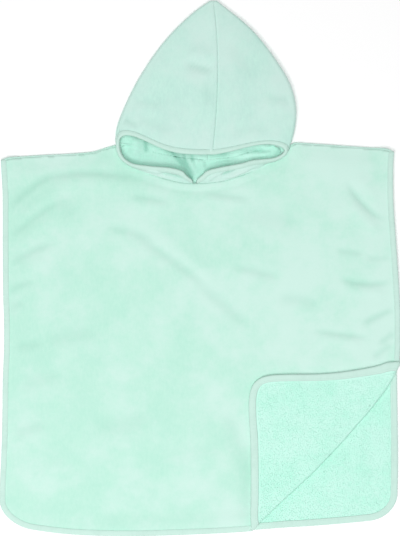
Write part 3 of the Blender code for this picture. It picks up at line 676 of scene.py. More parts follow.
def sheet_faces(count: int, across: int) -> np.ndarray:
    """Quads over a grid of points kept row by row.

    Args:
        count: Rows.
        across: Points in a row.

    Returns:
        Point numbers, one face per row.
    """
    row, column = np.meshgrid(np.arange(count - 1), np.arange(across - 1), indexing="ij")
    a = (row * across + column).ravel()
    return np.column_stack([a, a + across, a + across + 1, a + 1])


def cloth_piece(name: str, points: np.ndarray, faces: np.ndarray, cut: np.ndarray, wall: float,
                finishes: Sequence[bpy.types.Material],
                creased: np.ndarray | None = None) -> bpy.types.Object:
    """Cloth of an even wall over a middle surface.

    Args:
        name: Name of the piece.
        points: Middle surface, millimetres.
        faces: Point numbers of each face, seen from outside anticlockwise.
        cut: Flat place of each point, millimetres.
        wall: Thickness.
        finishes: Material outside, and inside where it differs.
        creased: Painted shade at each point, 0 to 1, darkest in a crease, where it has creases.

    Returns:
        The object, with a live Solidify modifier.
    """
    mesh = bpy.data.meshes.new(name)
    used = np.unique(faces)
    new_number = np.full(len(points), -1)
    new_number[used] = np.arange(len(used))
    mesh.from_pydata((points[used] * MM).tolist(), [], new_number[faces].tolist())
    uv = mesh.uv_layers.new(name="cut")
    corner = np.empty(len(mesh.loops), int)
    mesh.loops.foreach_get("vertex_index", corner)
    uv.data.foreach_set("uv", (cut[used][corner] * MM).ravel())
    # painted shade of the creases, read by the towelling shader as a point attribute
    if creased is not None:
        mark = mesh.attributes.new("crease", "FLOAT", "POINT")
        mark.data.foreach_set("value", np.clip(creased[used], 0, 1).astype(float))
    mesh.shade_smooth()
    for finish in finishes:
        mesh.materials.append(finish)
    obj = add_object(name, mesh)
    shell = obj.modifiers.new("wall", "SOLIDIFY")
    shell.thickness = wall * MM
    shell.offset = 0
    if len(finishes) > 1:
        shell.material_offset = 1
    return obj


def settle(piece: bpy.types.Object, slot: str, *nodes: str) -> None:
    """Give a piece its body and hide the solids that it stands for.

    Args:
        piece: The piece.
        slot: Not used.
        *nodes: Solids that it replaces.
    """
    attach(piece, BODY)
    if nodes:
        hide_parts(*nodes)
    log.info("%s: %d points", piece.name, len(piece.data.vertices))


# ================================================================= repeated details
class GrownDetail:
    """Small things that a node tree sets out along a path or over a patch."""

    def __init__(self, name: str, sockets: dict[str, str]) -> None:
        """Start the tree with its named inputs.

        Args:
            name: Name of the tree.
            sockets: Kinds of the inputs by name.
        """
        self.tree = bpy.data.node_groups.new(name, "GeometryNodeTree")
        face = self.tree.interface
        face.new_socket("Base", in_out="INPUT", socket_type="NodeSocketGeometry")
        self.sockets = {label: face.new_socket(label, in_out="INPUT",
                                               socket_type="NodeSocket" + kind)
                        for label, kind in sockets.items()}
        face.new_socket("Result", in_out="OUTPUT", socket_type="NodeSocketGeometry")
        self.kit = NodeKit(self.tree)
        self.given = self.kit.add("NodeGroupInput").outputs

    def finish_tree(self, instances: object, material: object) -> None:
        """End the tree in real geometry with its material.

        Args:
            instances: Socket with the instances.
            material: Socket with the material.
        """
        real = self.kit.add("GeometryNodeRealizeInstances", Geometry=instances)
        smooth = self.kit.add("GeometryNodeSetShadeSmooth", Geometry=real.outputs[0])
        dressed = self.kit.add("GeometryNodeSetMaterial", Geometry=smooth.outputs[0],
                               Material=material)
        out = self.kit.add("NodeGroupOutput")
        self.kit.put(out.inputs[0], dressed.outputs[0])

    def grow(self, name: str, base: bpy.types.Mesh, **values: object) -> bpy.types.Object:
        """Run the tree on a base and keep the result as a plain mesh.

        Args:
            name: Name of the new piece.
            base: Path or patch.
            **values: Inputs of the tree, spaces written as underscores.

        Returns:
            The piece.
        """
        carrier = add_object(name + "_base", base)
        modifier = carrier.modifiers.new("grow", "NODES")
        modifier.node_group = self.tree
        for label, value in values.items():
            modifier[self.sockets[label.replace("_", " ")].identifier] = value
        depsgraph = bpy.context.evaluated_depsgraph_get()
        mesh = bpy.data.meshes.new_from_object(carrier.evaluated_get(depsgraph),
                                               depsgraph=depsgraph)
        carrier.modifiers.remove(modifier)
        bpy.data.objects.remove(carrier, do_unlink=True)
        mesh.name = name
        return add_object(name, mesh)


class StitchRow(GrownDetail):
    """Lockstitches set out evenly along paths."""

    pitch = 3.0
    length = 2.3
    width = 0.55

    def __init__(self) -> None:
        """Build the tree."""
        super().__init__("stitch_row", {"Pitch": "Float", "Length": "Float", "Width": "Float",
                                        "Thread": "Material"})
        kit, given = self.kit, self.given
        curve = kit.add("GeometryNodeMeshToCurve", Mesh=given["Base"])
        marks = kit.add("GeometryNodeResampleCurve", {"mode": "LENGTH"}, Curve=curve.outputs[0],
                        Length=given["Pitch"])
        drop = kit.add("GeometryNodeMeshUVSphere", Segments=6, Rings=4, Radius=0.5)
        up = kit.add("GeometryNodeInputNamedAttribute", {"data_type": "FLOAT_VECTOR"}, Name="face")
        turn = kit.add("FunctionNodeAxesToRotation", {"primary_axis": "Z", "secondary_axis": "X"},
                       up.outputs["Attribute"], kit.add("GeometryNodeInputTangent").outputs[0])
        size = kit.add("ShaderNodeCombineXYZ", X=given["Length"], Y=given["Width"],
                       Z=given["Width"])
        set_out = kit.add("GeometryNodeInstanceOnPoints", Points=marks.outputs[0],
                          Instance=drop.outputs["Mesh"], Rotation=turn.outputs[0],
                          Scale=size.outputs[0])
        self.finish_tree(set_out.outputs[0], given["Thread"])

    def sew(self, name: str, paths: Sequence[tuple[np.ndarray, np.ndarray]],
            thread: bpy.types.Material) -> bpy.types.Object:
        """Sew along paths.

        Args:
            name: Name of the piece.
            paths: Points in millimetres and the outward direction at each.
            thread: Material.

        Returns:
            The stitches as one piece.
        """
        points, faces, edges = [], [], []
        for path, outward in paths:
            first = sum(len(p) for p in points)
            edges += [(first + k, first + k + 1) for k in range(len(path) - 1)]
            points.append(path * MM)
            faces.append(outward)
        mesh = bpy.data.meshes.new(name + "_path")
        mesh.from_pydata(np.vstack(points).tolist(), edges, [])
        mark = mesh.attributes.new("face", "FLOAT_VECTOR", "POINT")
        mark.data.foreach_set("vector", np.vstack(faces).astype(float).ravel())
        return self.grow(name, mesh, Pitch=self.pitch * MM, Length=self.length * MM,
                         Width=self.width * MM, Thread=thread)


class LoopField(GrownDetail):
    """Uncut terry loops scattered over a patch."""

    loop = 0.75
    yarn = 0.42
    lean = math.radians(38)
    spacing = 2.1
    densest = 400000.0         # loops to a square metre before the spacing thins them
    arc = (math.radians(-25), math.radians(230))
    sizes = (0.7, 1.25)

    def __init__(self) -> None:
        """Build the tree."""
        super().__init__("terry_loops", {"Spacing": "Float", "Loop": "Float", "Yarn": "Float",
                                         "Lean": "Float", "Seed": "Int", "Cotton": "Material"})
        kit, given = self.kit, self.given
        spots = kit.add("GeometryNodeDistributePointsOnFaces", {"distribute_method": "POISSON"},
                        Mesh=given["Base"], Distance_Min=given["Spacing"], Density_Max=self.densest,
                        Seed=given["Seed"])
        arc = kit.add("GeometryNodeCurveArc", Resolution=5, Radius=given["Loop"],
                      Start_Angle=self.arc[0], Sweep_Angle=self.arc[1])
        upright = kit.add("GeometryNodeTransform", Geometry=arc.outputs["Curve"],
                          Rotation=(math.radians(90), 0, 0))
        ring = kit.add("GeometryNodeCurvePrimitiveCircle", Resolution=3, Radius=given["Yarn"])
        loop = kit.add("GeometryNodeCurveToMesh", Curve=upright.outputs[0],
                       Profile_Curve=ring.outputs["Curve"])
        size = kit.add("FunctionNodeRandomValue", {"data_type": "FLOAT"})
        kit.put(size.inputs[2], self.sizes[0])
        kit.put(size.inputs[3], self.sizes[1])
        kit.put(size.inputs["Seed"], given["Seed"])
        set_out = kit.add("GeometryNodeInstanceOnPoints", Points=spots.outputs["Points"],
                          Instance=loop.outputs[0], Rotation=spots.outputs["Rotation"],
                          Scale=size.outputs[1])
        back = kit.maths("MULTIPLY", given["Lean"], -1.0)
        low = kit.add("ShaderNodeCombineXYZ", X=back, Y=back, Z=-math.pi)
        high = kit.add("ShaderNodeCombineXYZ", X=given["Lean"], Y=given["Lean"], Z=math.pi)
        turn = kit.add("FunctionNodeRandomValue", {"data_type": "FLOAT_VECTOR"}, low.outputs[0],
                       high.outputs[0], Seed=given["Seed"])
        turned = kit.add("GeometryNodeRotateInstances", Instances=set_out.outputs[0],
                         Rotation=turn.outputs[0])
        self.finish_tree(turned.outputs[0], given["Cotton"])

    def cover(self, name: str, points: np.ndarray, faces: np.ndarray,
              cotton: bpy.types.Material, seed: int) -> bpy.types.Object:
        """Cover a patch with loops.

        Args:
            name: Name of the piece.
            points: Surface of the patch, millimetres.
            faces: Its faces, seen anticlockwise from the side where the loops stand.
            cotton: Material.
            seed: Start of the scatter.

        Returns:
            The loops as one piece.
        """
        mesh = bpy.data.meshes.new(name + "_patch")
        mesh.from_pydata((points * MM).tolist(), [], faces.tolist())
        return self.grow(name, mesh, Spacing=self.spacing * MM, Loop=self.loop * MM,
                         Yarn=self.yarn * MM, Lean=self.lean, Seed=seed, Cotton=cotton)


# ================================================================= outlines of the panels
# Shoulder lines lie where the cloth begins to turn over to the back.
LEFT_SHOULDER = [(-317, 169), (-311, 171.6), (-300, 174.6), (-256, 178), (-208, 180.4),
                 (-176, 182.9), (-163, 185.8), (-145.5, 191.4), (-137, 193.6), (-130.5, 194.6)]
RIGHT_SHOULDER = [(140, 187), (143.5, 192.5), (150, 197.4), (157, 198.3), (192, 195.9),
                  (256, 191.4), (294, 188.4), (302.5, 186), (308.5, 182.5)]
LEFT_EDGE = [(-316, 157), (-314.5, 133), (-313.5, 109), (-313.5, 37), (-313, -35), (-311.5, -83),
             (-311.5, -131), (-313.5, -179), (-314, -227), (-315, -275), (-317, -323),
             (-318.3, -350.5), (-318.5, -371)]
FRONT_RIGHT_EDGE = [(307.5, 173), (307, 157), (307, 117), (308.5, 85), (310.5, 56), (313.5, 13),
                    (316.5, -35), (318.3, -70.5), (318.5, -102.5), (318.3, -128), (317, -144)]
BACK_RIGHT_EDGE = [(306.5, 173), (305.5, 157), (305.5, 117), (307, 85), (311, 13),
                   (313.5, -43), (315, -107), (314.6, -155), (315, -195), (316, -259),
                   (316.2, -323), (315.5, -360)]
HEM_LEFT = [(-265.5, -416.8), (-230.5, -421.7), (-192, -425), (-145.5, -426.7),
            (-117, -427.1), (-88, -426.8), (-32, -425), (22.5, -422.8), (64, -420.3),
            (83, -418.8)]
HEM_RIGHT = [(96, -418), (134.5, -415), (173, -412.8), (211, -409.8), (240, -407.3),
             (269, -404.3)]
LEFT_CORNER = (-318.8, -409)
RIGHT_CORNER = (315.6, -402)
TURNED_EDGE = [(301, -152.5), (285, -157.5), (256, -163.3), (219, -168.6), (181, -171),
               (142.5, -171.3), (112, -172.8), (95.5, -178), (85.2, -188.5), (80.4, -205),
               (79.6, -227), (80.6, -249.5), (82.4, -275), (83.2, -323), (83, -371),
               (82.4, -396)]

# Each crease: from x, y to x, y, bow, width, height and how soon its ends fade.
FRONT_CREASES = crease_list(
    (-309, 86, -226, 155, 8, 6, -2.6), (-262, 141, -92, 141, 12, 7, -2.6),
    (-136, 153, -48, 127, 3, 6, -1.6), (-298, 62, -208, 132, 8, 11, 1.8),
    (-250, 124, -84, 124, 10, 12, 1.6), (-308, 38, -212, 112, 9, 6, -2.7),
    (-296, 22, -222, 84, 8, 9, 1.8), (-309, -2, -226, 42, 7, 6.5, -2.2),
    (-300, -22, -236, 16, 6, 9, 1.3), (-308, -42, -262, -17, 3, 6, -1.9),
    (-308, -70, -276, -54, 2, 6, -1.6), (-120, 119, -40, 106, -1, 6, -1.7),
    (-114, 106, -48, 94, -1, 8, 1.2), (-4, 121, 88, 110, 1, 5.6, -1.8),
    (0, 110, 80, 100, 1, 8, 1.2), (-156, 66, -66, 41, 5, 7, -1.6),
    (-112, 58, 22, -38, 3, 7.5, -1.9), (-86, 66, 34, -28, 4, 12, 1), (-8, -20, 82, -98, 2, 9, -1.5),
    (230, 143, 302, 69, -6, 5.5, -2.8), (232, 116, 302, 48, -6, 10, 2.2),
    (244, 156, 304, 100, -5, 10, 1.4), (214, 30, 266, 24, 0, 5, -1.6),
    (262, 17, 308, 15, 0, 5, -1.4), (216, -16, 314, -22, -5, 5.4, -2.6),
    (222, -32, 312, -38, -4, 8, 1.6), (256, -91, 314, -65, 2, 5, -2.6),
    (284, -123, 315, -99, 0, 5, -2.3), (274, -146, 310, -119, 1, 5, -2),
    (174, -100, 276, -113, 2, 5.2, -1.9), (184, -114, 262, -124, 3, 8, 1.4),
    (44, 3, 134, -18, 3, 7, -1.7), (120, -48, 196, -62, 6, 10, -1.4),
    (-252, -120, -150, -104, 6, 12, -1.3), (-300, -128, -246, -116, 0, 8, -1.7),
    (-290, -196, -212, -170, 8, 11, -1.3), (-300, -272, -240, -246, 4, 9, -1.5),
    (-270, -352, -214, -310, 6, 12, 1.3), (-180, -250, -70, -232, -8, 15, -1.2),
    (-60, -330, 40, -300, 8, 14, 1.2), (40, -220, 66, -330, 4, 10, -1.2),
    (-230, 132, -206, 70, 5, 14, -1), (60, 84, 170, 64, 8, 15, -1.2),
    (73, -262, 71, -428, 1, 9, -2, 0.4))
BACK_CREASES = crease_list(
    (222, -384, 286, -320, 4, 10, 2.2), (258, -392, 300, -352, 3, 8, 1.2),
    (190, -330, 236, -306, 4, 10, 0.9), (290, -250, 304, -200, 3, 8, 0.9),
    (150, 50, 62, 30, 4, 9, 1.2), (-200, 30, -122, -30, 5, 10, 1.4),
    (-230, -60, -130, -72, 6, 10, 1.2), (-100, -90, 0, -132, 5, 11, 1.4),
    (30, -150, 130, -190, -6, 12, 1.3), (160, -142, 238, -190, 4, 9, 1.2),
    (-200, -150, -112, -182, 5, 12, 1.3), (-150, -300, -42, -322, 6, 14, 1.2),
    (-240, -300, -172, -342, 4, 12, 1.2), (158, 122, 208, 80, 4, 9, 1.2),
    (-190, 100, -122, 82, 3, 9, 1.1), (-70, -186, -16, -232, 4, 11, 1.1))
# Behind the neck, folds above 0 lift the cloth; those below 0 are not shaped, only painted as shade.
NAPE_FOLDS = crease_list(
    (-140, 176, 0, 156, 0, 24, -1.5, 0.2), (-22, 152, 70, 172, 0, 13, -1.2, 0.25),
    (-104, 214, -108, 168, 3, 9, 5), (-88, 210, -86, 182, 0, 3.2, -4),
    (-68, 208, -58, 166, 4, 11, 4.6), (-50, 189, -10, 137, 4, 3.2, -6, 0.12),
    (-28, 187, -12, 141, -1, 2.8, -5, 0.15), (-22, 180, -6, 142, 3, 4, 4.2, 0.15),
    (-2, 178, 2, 144, 4, 5, 4.6), (-14, 184, -12, 168, 1, 2.6, -3), (-4, 169, 50, 179, 2, 2.8, 3.6),
    (0, 174, 50, 184, 2, 2.2, -3.4), (0, 181, 56, 190, 2, 3, 3.4), (6, 159, 60, 171, 2, 3.4, 3),
    (36, 192, 116, 196, 3, 8, 4.6), (58, 186, 112, 187, 2, 3, -2.6), (60, 178, 124, 181, 2, 5, 3.4),
    (122, 192, 130, 182, 0, 4, -3))


def nape_painted_shade(points: np.ndarray) -> np.ndarray:
    """Heights, below 0, of the troughs behind the neck that are painted as shade but not shaped."""
    return crease_heights(points, [f for f in NAPE_FOLDS if f.height < 0])


# ================================================================= the turned-up corner
@dataclass
class TurnedCorner:
    """Lower corner of the front, folded up on a slightly bowed line."""

    start: tuple[float, float] = (90.5, -412.0)
    end: tuple[float, float] = (316.0, -156.0)
    radius: float = 3.0
    steps: int = 12
    bulge: Line = ((-0.2, -3.0), (0.0, 0.0), (0.2, 6.5), (0.36, 11.5), (0.52, 14.0),
                   (0.67, 14.3), (0.8, 13.3), (0.92, 9.0), (1.0, 1.0), (1.08, -8.0))

    def __post_init__(self) -> None:
        """Work out the directions and the bowed line once."""
        self.origin = np.array(self.start)
        self.along = np.array(self.end) - self.origin
        self.length = float(np.linalg.norm(self.along))
        self.along = self.along / self.length
        self.out = np.array([self.along[1], -self.along[0]])
        self.run = math.pi * self.radius
        self.line = smooth_line(self.bulge, 0.01)

    def coords(self, points: np.ndarray) -> tuple[np.ndarray, np.ndarray, np.ndarray]:
        """Place of flat points relative to the fold.

        Args:
            points: Flat points.

        Returns:
            Distance along the fold, distance beyond its start, and the bulge there.
        """
        rel = points - self.origin
        along = rel @ self.along
        bulge = np.interp(along / self.length, self.line[:, 0], self.line[:, 1])
        bulge = bulge - self.radius - CLOTH / 2
        return along, rel @ self.out - bulge, bulge

    def place(self, along: np.ndarray, out: np.ndarray) -> np.ndarray:
        """Points at distances along the chord of the fold and outside it."""
        return self.origin + np.outer(along, self.along) + np.outer(out, self.out)

    def opened(self, points: np.ndarray) -> np.ndarray:
        """Flat position of points seen on the turned corner."""
        along, beyond, bulge = self.coords(points)
        return self.place(along, bulge + self.run - beyond)

    def tilt(self, along: np.ndarray) -> np.ndarray:
        """Direction of the bowed line.

        Args:
            along: Distances along the fold.

        Returns:
            Unit vectors.
        """
        slope = np.gradient(self.line[:, 1], self.line[:, 0]) / self.length
        tilt = np.interp(along / self.length, self.line[:, 0], slope)
        return unit(self.along + np.outer(tilt, self.out))


# ================================================================= the hood
class Section(NamedTuple):
    """One section of the hood from the neck to the rim."""

    neck_x: float
    neck_y: float
    fold_x: float
    fold_y: float
    rim_x: float
    rim_y: float
    neck_z: float
    bed_z: float
    rim_z: float
    turn: float
    lies: float
    bow: float


HOOD_ROWS = {
    Side.LEFT: [
        (-10.5, 134.5, -12.5, 139.5, -12.5, 139.5, 4, 6, 8.5, 3, 0, 0),
        (-21.5, 134.5, -22, 146.5, -22, 146.5, 4, 6, 12, 3, 0, 0),
        (-38, 137, -30, 153.5, -30, 153.5, 4, 6, 13.5, 3, 0, 0),
        (-57, 142, -49, 158.5, -49, 158.5, 4, 6, 14, 3.5, 0, 0),
        (-79.5, 149.5, -78.5, 160.8, -78.5, 160.8, 4, 6, 13.5, 4, 0, 0),
        (-103, 159.5, -107, 165, -107, 165, 4, 6, 13.5, 5, 0, 0),
        (-119, 170.5, -126, 176, -122.5, 173.5, 4, 6, 14, 6, 0, 0),
        (-126, 184, -134, 190, -130.5, 186.5, 4.4, 6, 16, 7, 0, 0),
        (-127, 197, -137, 204, -131.5, 198.5, 4.8, 4.8, 17.2, 7.5, 0.2, 0),
        (-119, 198, -136.5, 216, -129.5, 208.5, 3.4, 1.2, 17.6, 7.5, 1, 0),
        (-101, 192.5, -128.6, 238, -117, 216.5, 1.6, 1.2, 18.8, 7, 1, 1),
        (-77, 185.5, -112.5, 277.5, -91, 206, 1.2, 1.2, 21.5, 6.5, 1, 2),
        (-53.5, 180, -79.5, 332, -61.5, 192, 1.2, 1.2, 24.5, 5.5, 1, 4),
        (-31.5, 176, -45.2, 375, -35, 185, 1.2, 1.2, 25.5, 4.5, 1, 6),
        (-10, 173.7, -9.8, 408.5, -7, 182.5, 1.2, 1.2, 26, 4, 1, 8),
        (6.5, 173, 16.5, 427.3, 14.5, 182.5, 1.2, 1.2, 26, 3.5, 1, 8),
    ],
    Side.RIGHT: [
        (-6.5, 134.5, -5, 139.5, -5, 139.5, 4, 6, 8.5, 3, 0, 0),
        (8.5, 134.5, 3.5, 146, 3.5, 146, 4, 6, 12, 3, 0, 0),
        (25.5, 136, 13.5, 154, 13.5, 154, 4, 6, 14, 3, 0, 0),
        (47.5, 140.5, 34, 159.5, 34, 159.5, 4, 6, 14.5, 3.5, 0, 0),
        (70.5, 148.5, 64.5, 165, 64.5, 165, 4, 6, 14, 4, 0, 0),
        (90.5, 158, 85, 170.5, 85, 170.5, 4, 6, 13.5, 4.5, 0, 0),
        (106, 167, 106.5, 172.5, 106.5, 172.5, 4, 6, 13, 5, 0, 0),
        (118.5, 171.5, 124.5, 174.5, 121, 174, 4, 6, 13.5, 4, 0, 0),
        (128.5, 178, 136, 179.5, 132, 178.5, 4, 6.5, 14.8, 4, 0, 0),
        (132.5, 187, 143.5, 184, 138.5, 185.5, 4.6, 6.5, 16.2, 4.5, 0.2, 0),
        (128, 196.5, 149, 197, 136, 192.3, 4.8, 5.4, 17.3, 6, 0.7, 0),
        (116, 197, 151.5, 221, 125.5, 196.8, 3.2, 1.2, 18.4, 7.5, 1, 0),
        (99, 190, 154.7, 251, 109, 199, 1.2, 1.2, 20.6, 7, 1, 2),
        (71, 181.5, 139.2, 304, 82.5, 195.5, 1.2, 1.2, 24, 6, 1, 5),
        (43.5, 175.5, 86.5, 376.5, 49.5, 187.3, 1.2, 1.2, 25.5, 4.8, 1, 7),
        (16.5, 173, 26.5, 427.3, 24.5, 182.5, 1.2, 1.2, 26, 3.5, 1, 8),
    ],
}
HOOD_FOLDS = {
    Layer.UPPER: crease_list(
        (-28, 327, 24, 314, 0, 5, -3), (-20, 343, 26, 331, 3, 10, 2.4),
        (8, 306, 14, 256, 2, 8, -1.4), (-22, 316, -14, 262, 4, 12, 0.9),
        (100, 270, 150, 268, 1, 6, -1.3), (92, 260, 146, 256, 2, 9, 0.9),
        (-110, 266, -58, 259, 1, 6, -1.2), (-112, 260, -50, 246, 4, 9, 0.9),
        (-132, 240, -96, 224, 3, 5, -1.8), (-104, 240, -40, 214, 4, 8, -0.9),
        (44, 214, 118, 222, 4, 8, -0.9), (48, 370, 96, 300, -6, 12, -0.9),
        (-58, 346, -86, 286, 5, 12, 0.9)),
    Layer.COLLAR: crease_list(
        (32, 148, 60, 160, 0, 2, -6), (36, 143, 88, 158, 0, 3.2, 3.4),
        (54, 144, 96, 160, 1, 2.2, -4.6), (12, 139, 30, 152, 1, 3, 2.2),
        (-70, 152, -20, 142, 2, 2.6, -4), (-96, 162, -58, 150, 1, 3, 2.4)),
}


@dataclass
class HoodShape:
    """Middle surface of one half of the hood, ray by ray from the throat to the crown."""

    side: Side
    under: int = 3             # steps across the lower layer,
    around: int = 4            # round the turn
    over: int = 4              # and across the upper layer
    seam_band: float = 5.0     # level strip beside the centre seam
    rise_share: float = 0.2    # share of the lower layer in which it rises from the neck
    rise: float = 4.8          # bed height at which it rises straight up
    handle: float = 0.3        # reach of the handles of the upper layer, as a share of it
    handle_most: float = 40.0  # and at the turn in millimetres
    rim_power: float = 1.6     # how late the upper layer comes down to its rim
    mouth: tuple[float, float] = (5.0, 13.5)    # rows between which rays are blended,
    mouth_run: float = 3.0                      # and over how many rows that sets in
    samples: int = 133         # points of a ray near the rim
    foot_drop: float = 0.5     # cloth that goes down into the neck seam
    foot_out: float = 0.35
    tape_inside: float = 9.0   # most that the tape covers inside the rim
    tape_share: float = 0.8    # and the share of a short ray that it may cover

    def __post_init__(self) -> None:
        """Read the table of this side."""
        self.rows = np.array(HOOD_ROWS[self.side], float)
        steps = self.under + self.around + self.over
        self.under_end, self.turn_end = self.under / steps, (self.under + self.around) / steps
        self.eased_by = 0.55 if self.side is Side.LEFT else 0.7

    @property
    def last(self) -> int:
        """Number of the last ray, at the centre seam."""
        return len(self.rows)

    def section(self, u: float) -> Section:
        """Section at a row number.

        Args:
            u: Row number; past the last row it only moves sideways to the seam.

        Returns:
            The section.
        """
        table = self.rows
        last = len(table) - 1
        k = int(min(np.floor(u), last - 1))
        t = min(u, last) - k
        b, c = table[k], table[k + 1]
        a = table[k - 1] if k > 0 else 2 * b - c
        d = table[k + 2] if k + 2 < len(table) else 2 * c - b
        row = spline(a, b, c, d, t)
        row[[0, 2, 4]] += self.side.value * max(u - last, 0) * self.seam_band
        return Section(*row)

    def lying(self, r: Section, v: np.ndarray, turn_at: np.ndarray, way: np.ndarray) -> np.ndarray:
        """Points of a section that lies back, turns and comes forward.

        Args:
            r: The section.
            v: Shares of the way from the neck to the rim.
            turn_at: Where the turn begins.
            way: Direction from the neck to the turn.

        Returns:
            One point per share.
        """
        neck, rim = np.array([r.neck_x, r.neck_y]), np.array([r.rim_x, r.rim_y])
        out = np.empty((len(v), 3))
        first = v <= self.under_end
        second = (v > self.under_end) & (v <= self.turn_end)
        third = v > self.turn_end
        t = v[first] / self.under_end
        upright = self.rise_share * float(np.clip((r.bed_z - CLOTH / 2) / self.rise, 0, 1))
        share = np.maximum(t - upright, 0) / (1 - upright)
        out[first, :2] = neck + (turn_at - neck) * share[:, None]
        out[first, 2] = r.neck_z + (r.bed_z - r.neck_z) * ease(t / self.rise_share)
        a = np.pi * (v[second] - self.under_end) / (self.turn_end - self.under_end)
        out[second, :2] = turn_at + way * (r.turn * np.sin(a))[:, None]
        out[second, 2] = r.bed_z + r.turn * (1 - np.cos(a))
        t = ((v[third] - self.turn_end) / (1 - self.turn_end))[:, None]
        back = turn_at - rim
        p1 = turn_at - way * min(self.handle * np.linalg.norm(back), self.handle_most)
        flat = bezier(turn_at, p1, rim + back * self.handle, rim, t)
        flat[:, :1] += r.bow * np.sin(np.pi * t)
        out[third, :2] = flat
        top = r.bed_z + 2 * r.turn
        out[third, 2] = top + (r.rim_z - top) * (1 - (1 - t[:, 0]) ** self.rim_power)
        return out

    def standing(self, r: Section, v: np.ndarray) -> np.ndarray:
        """Points of a section that stands up from the neck straight to the rim.

        Args:
            r: The section.
            v: Shares of the way from the neck to the rim.

        Returns:
            One point per share.
        """
        start = np.array([r.neck_x, r.neck_y, r.neck_z])
        end = np.array([r.rim_x, r.rim_y, r.rim_z])
        outwards = np.array([r.fold_x - r.rim_x, r.fold_y - r.rim_y, 0])
        lift = start + (end - start) * np.array([0.36, 0.36, 0.62]) + outwards * 0.7
        t = v[:, None]
        return (1 - t) ** 2 * start + 2 * (1 - t) * t * lift + t ** 2 * end

    def one_ray(self, u: float, v: np.ndarray) -> np.ndarray:
        """Points along one section.

        Args:
            u: Row number.
            v: Shares of the way.

        Returns:
            One point per share.
        """
        r = self.section(u)
        way = unit(np.array([r.fold_x - r.neck_x, r.fold_y - r.neck_y]))
        turn_at = np.array([r.fold_x, r.fold_y]) - way * (r.turn + CLOTH / 2)
        lies = float(np.clip(r.lies, 0, 1))
        points = self.standing(r, v) * (1 - lies) + self.lying(r, v, turn_at, way) * lies
        points[:, 2] = np.maximum(points[:, 2], CLOTH / 2)
        return points

    def ray(self, u: float, v: np.ndarray) -> np.ndarray:
        """Points along one section, blended with its neighbours at the ends of the mouth.

        Args:
            u: Row number.
            v: Shares of the way from the neck to the rim.

        Returns:
            One point per share.
        """
        start, end = self.mouth
        reach = self.eased_by * ease((u - start) / self.mouth_run) * ease((end - u) / self.mouth_run)
        weights = (1, 4, 6, 4, 1)
        return sum(self.one_ray(u + reach * (k - 2), v) * w
                   for k, w in enumerate(weights)) / sum(weights)

    def fit(self, length: float) -> float:
        """Share of its full width that the tape has on a ray of this length."""
        return min(1.0, length * self.tape_share / self.tape_inside)

    def near_rim(self, u: float, depths: np.ndarray) -> np.ndarray:
        """Points at distances inside the rim.

        Args:
            u: Row number.
            depths: Distances, below 0 beyond the rim.

        Returns:
            One point per distance.
        """
        ray = self.ray(u, np.linspace(0, 1, self.samples))
        run = lengths(ray)
        beyond = unit(ray[-1] - ray[-4])
        at = at_length(ray, run, run[-1] - np.maximum(depths, 0) * self.fit(run[-1]))
        return at - np.minimum(depths, 0)[:, None] * beyond


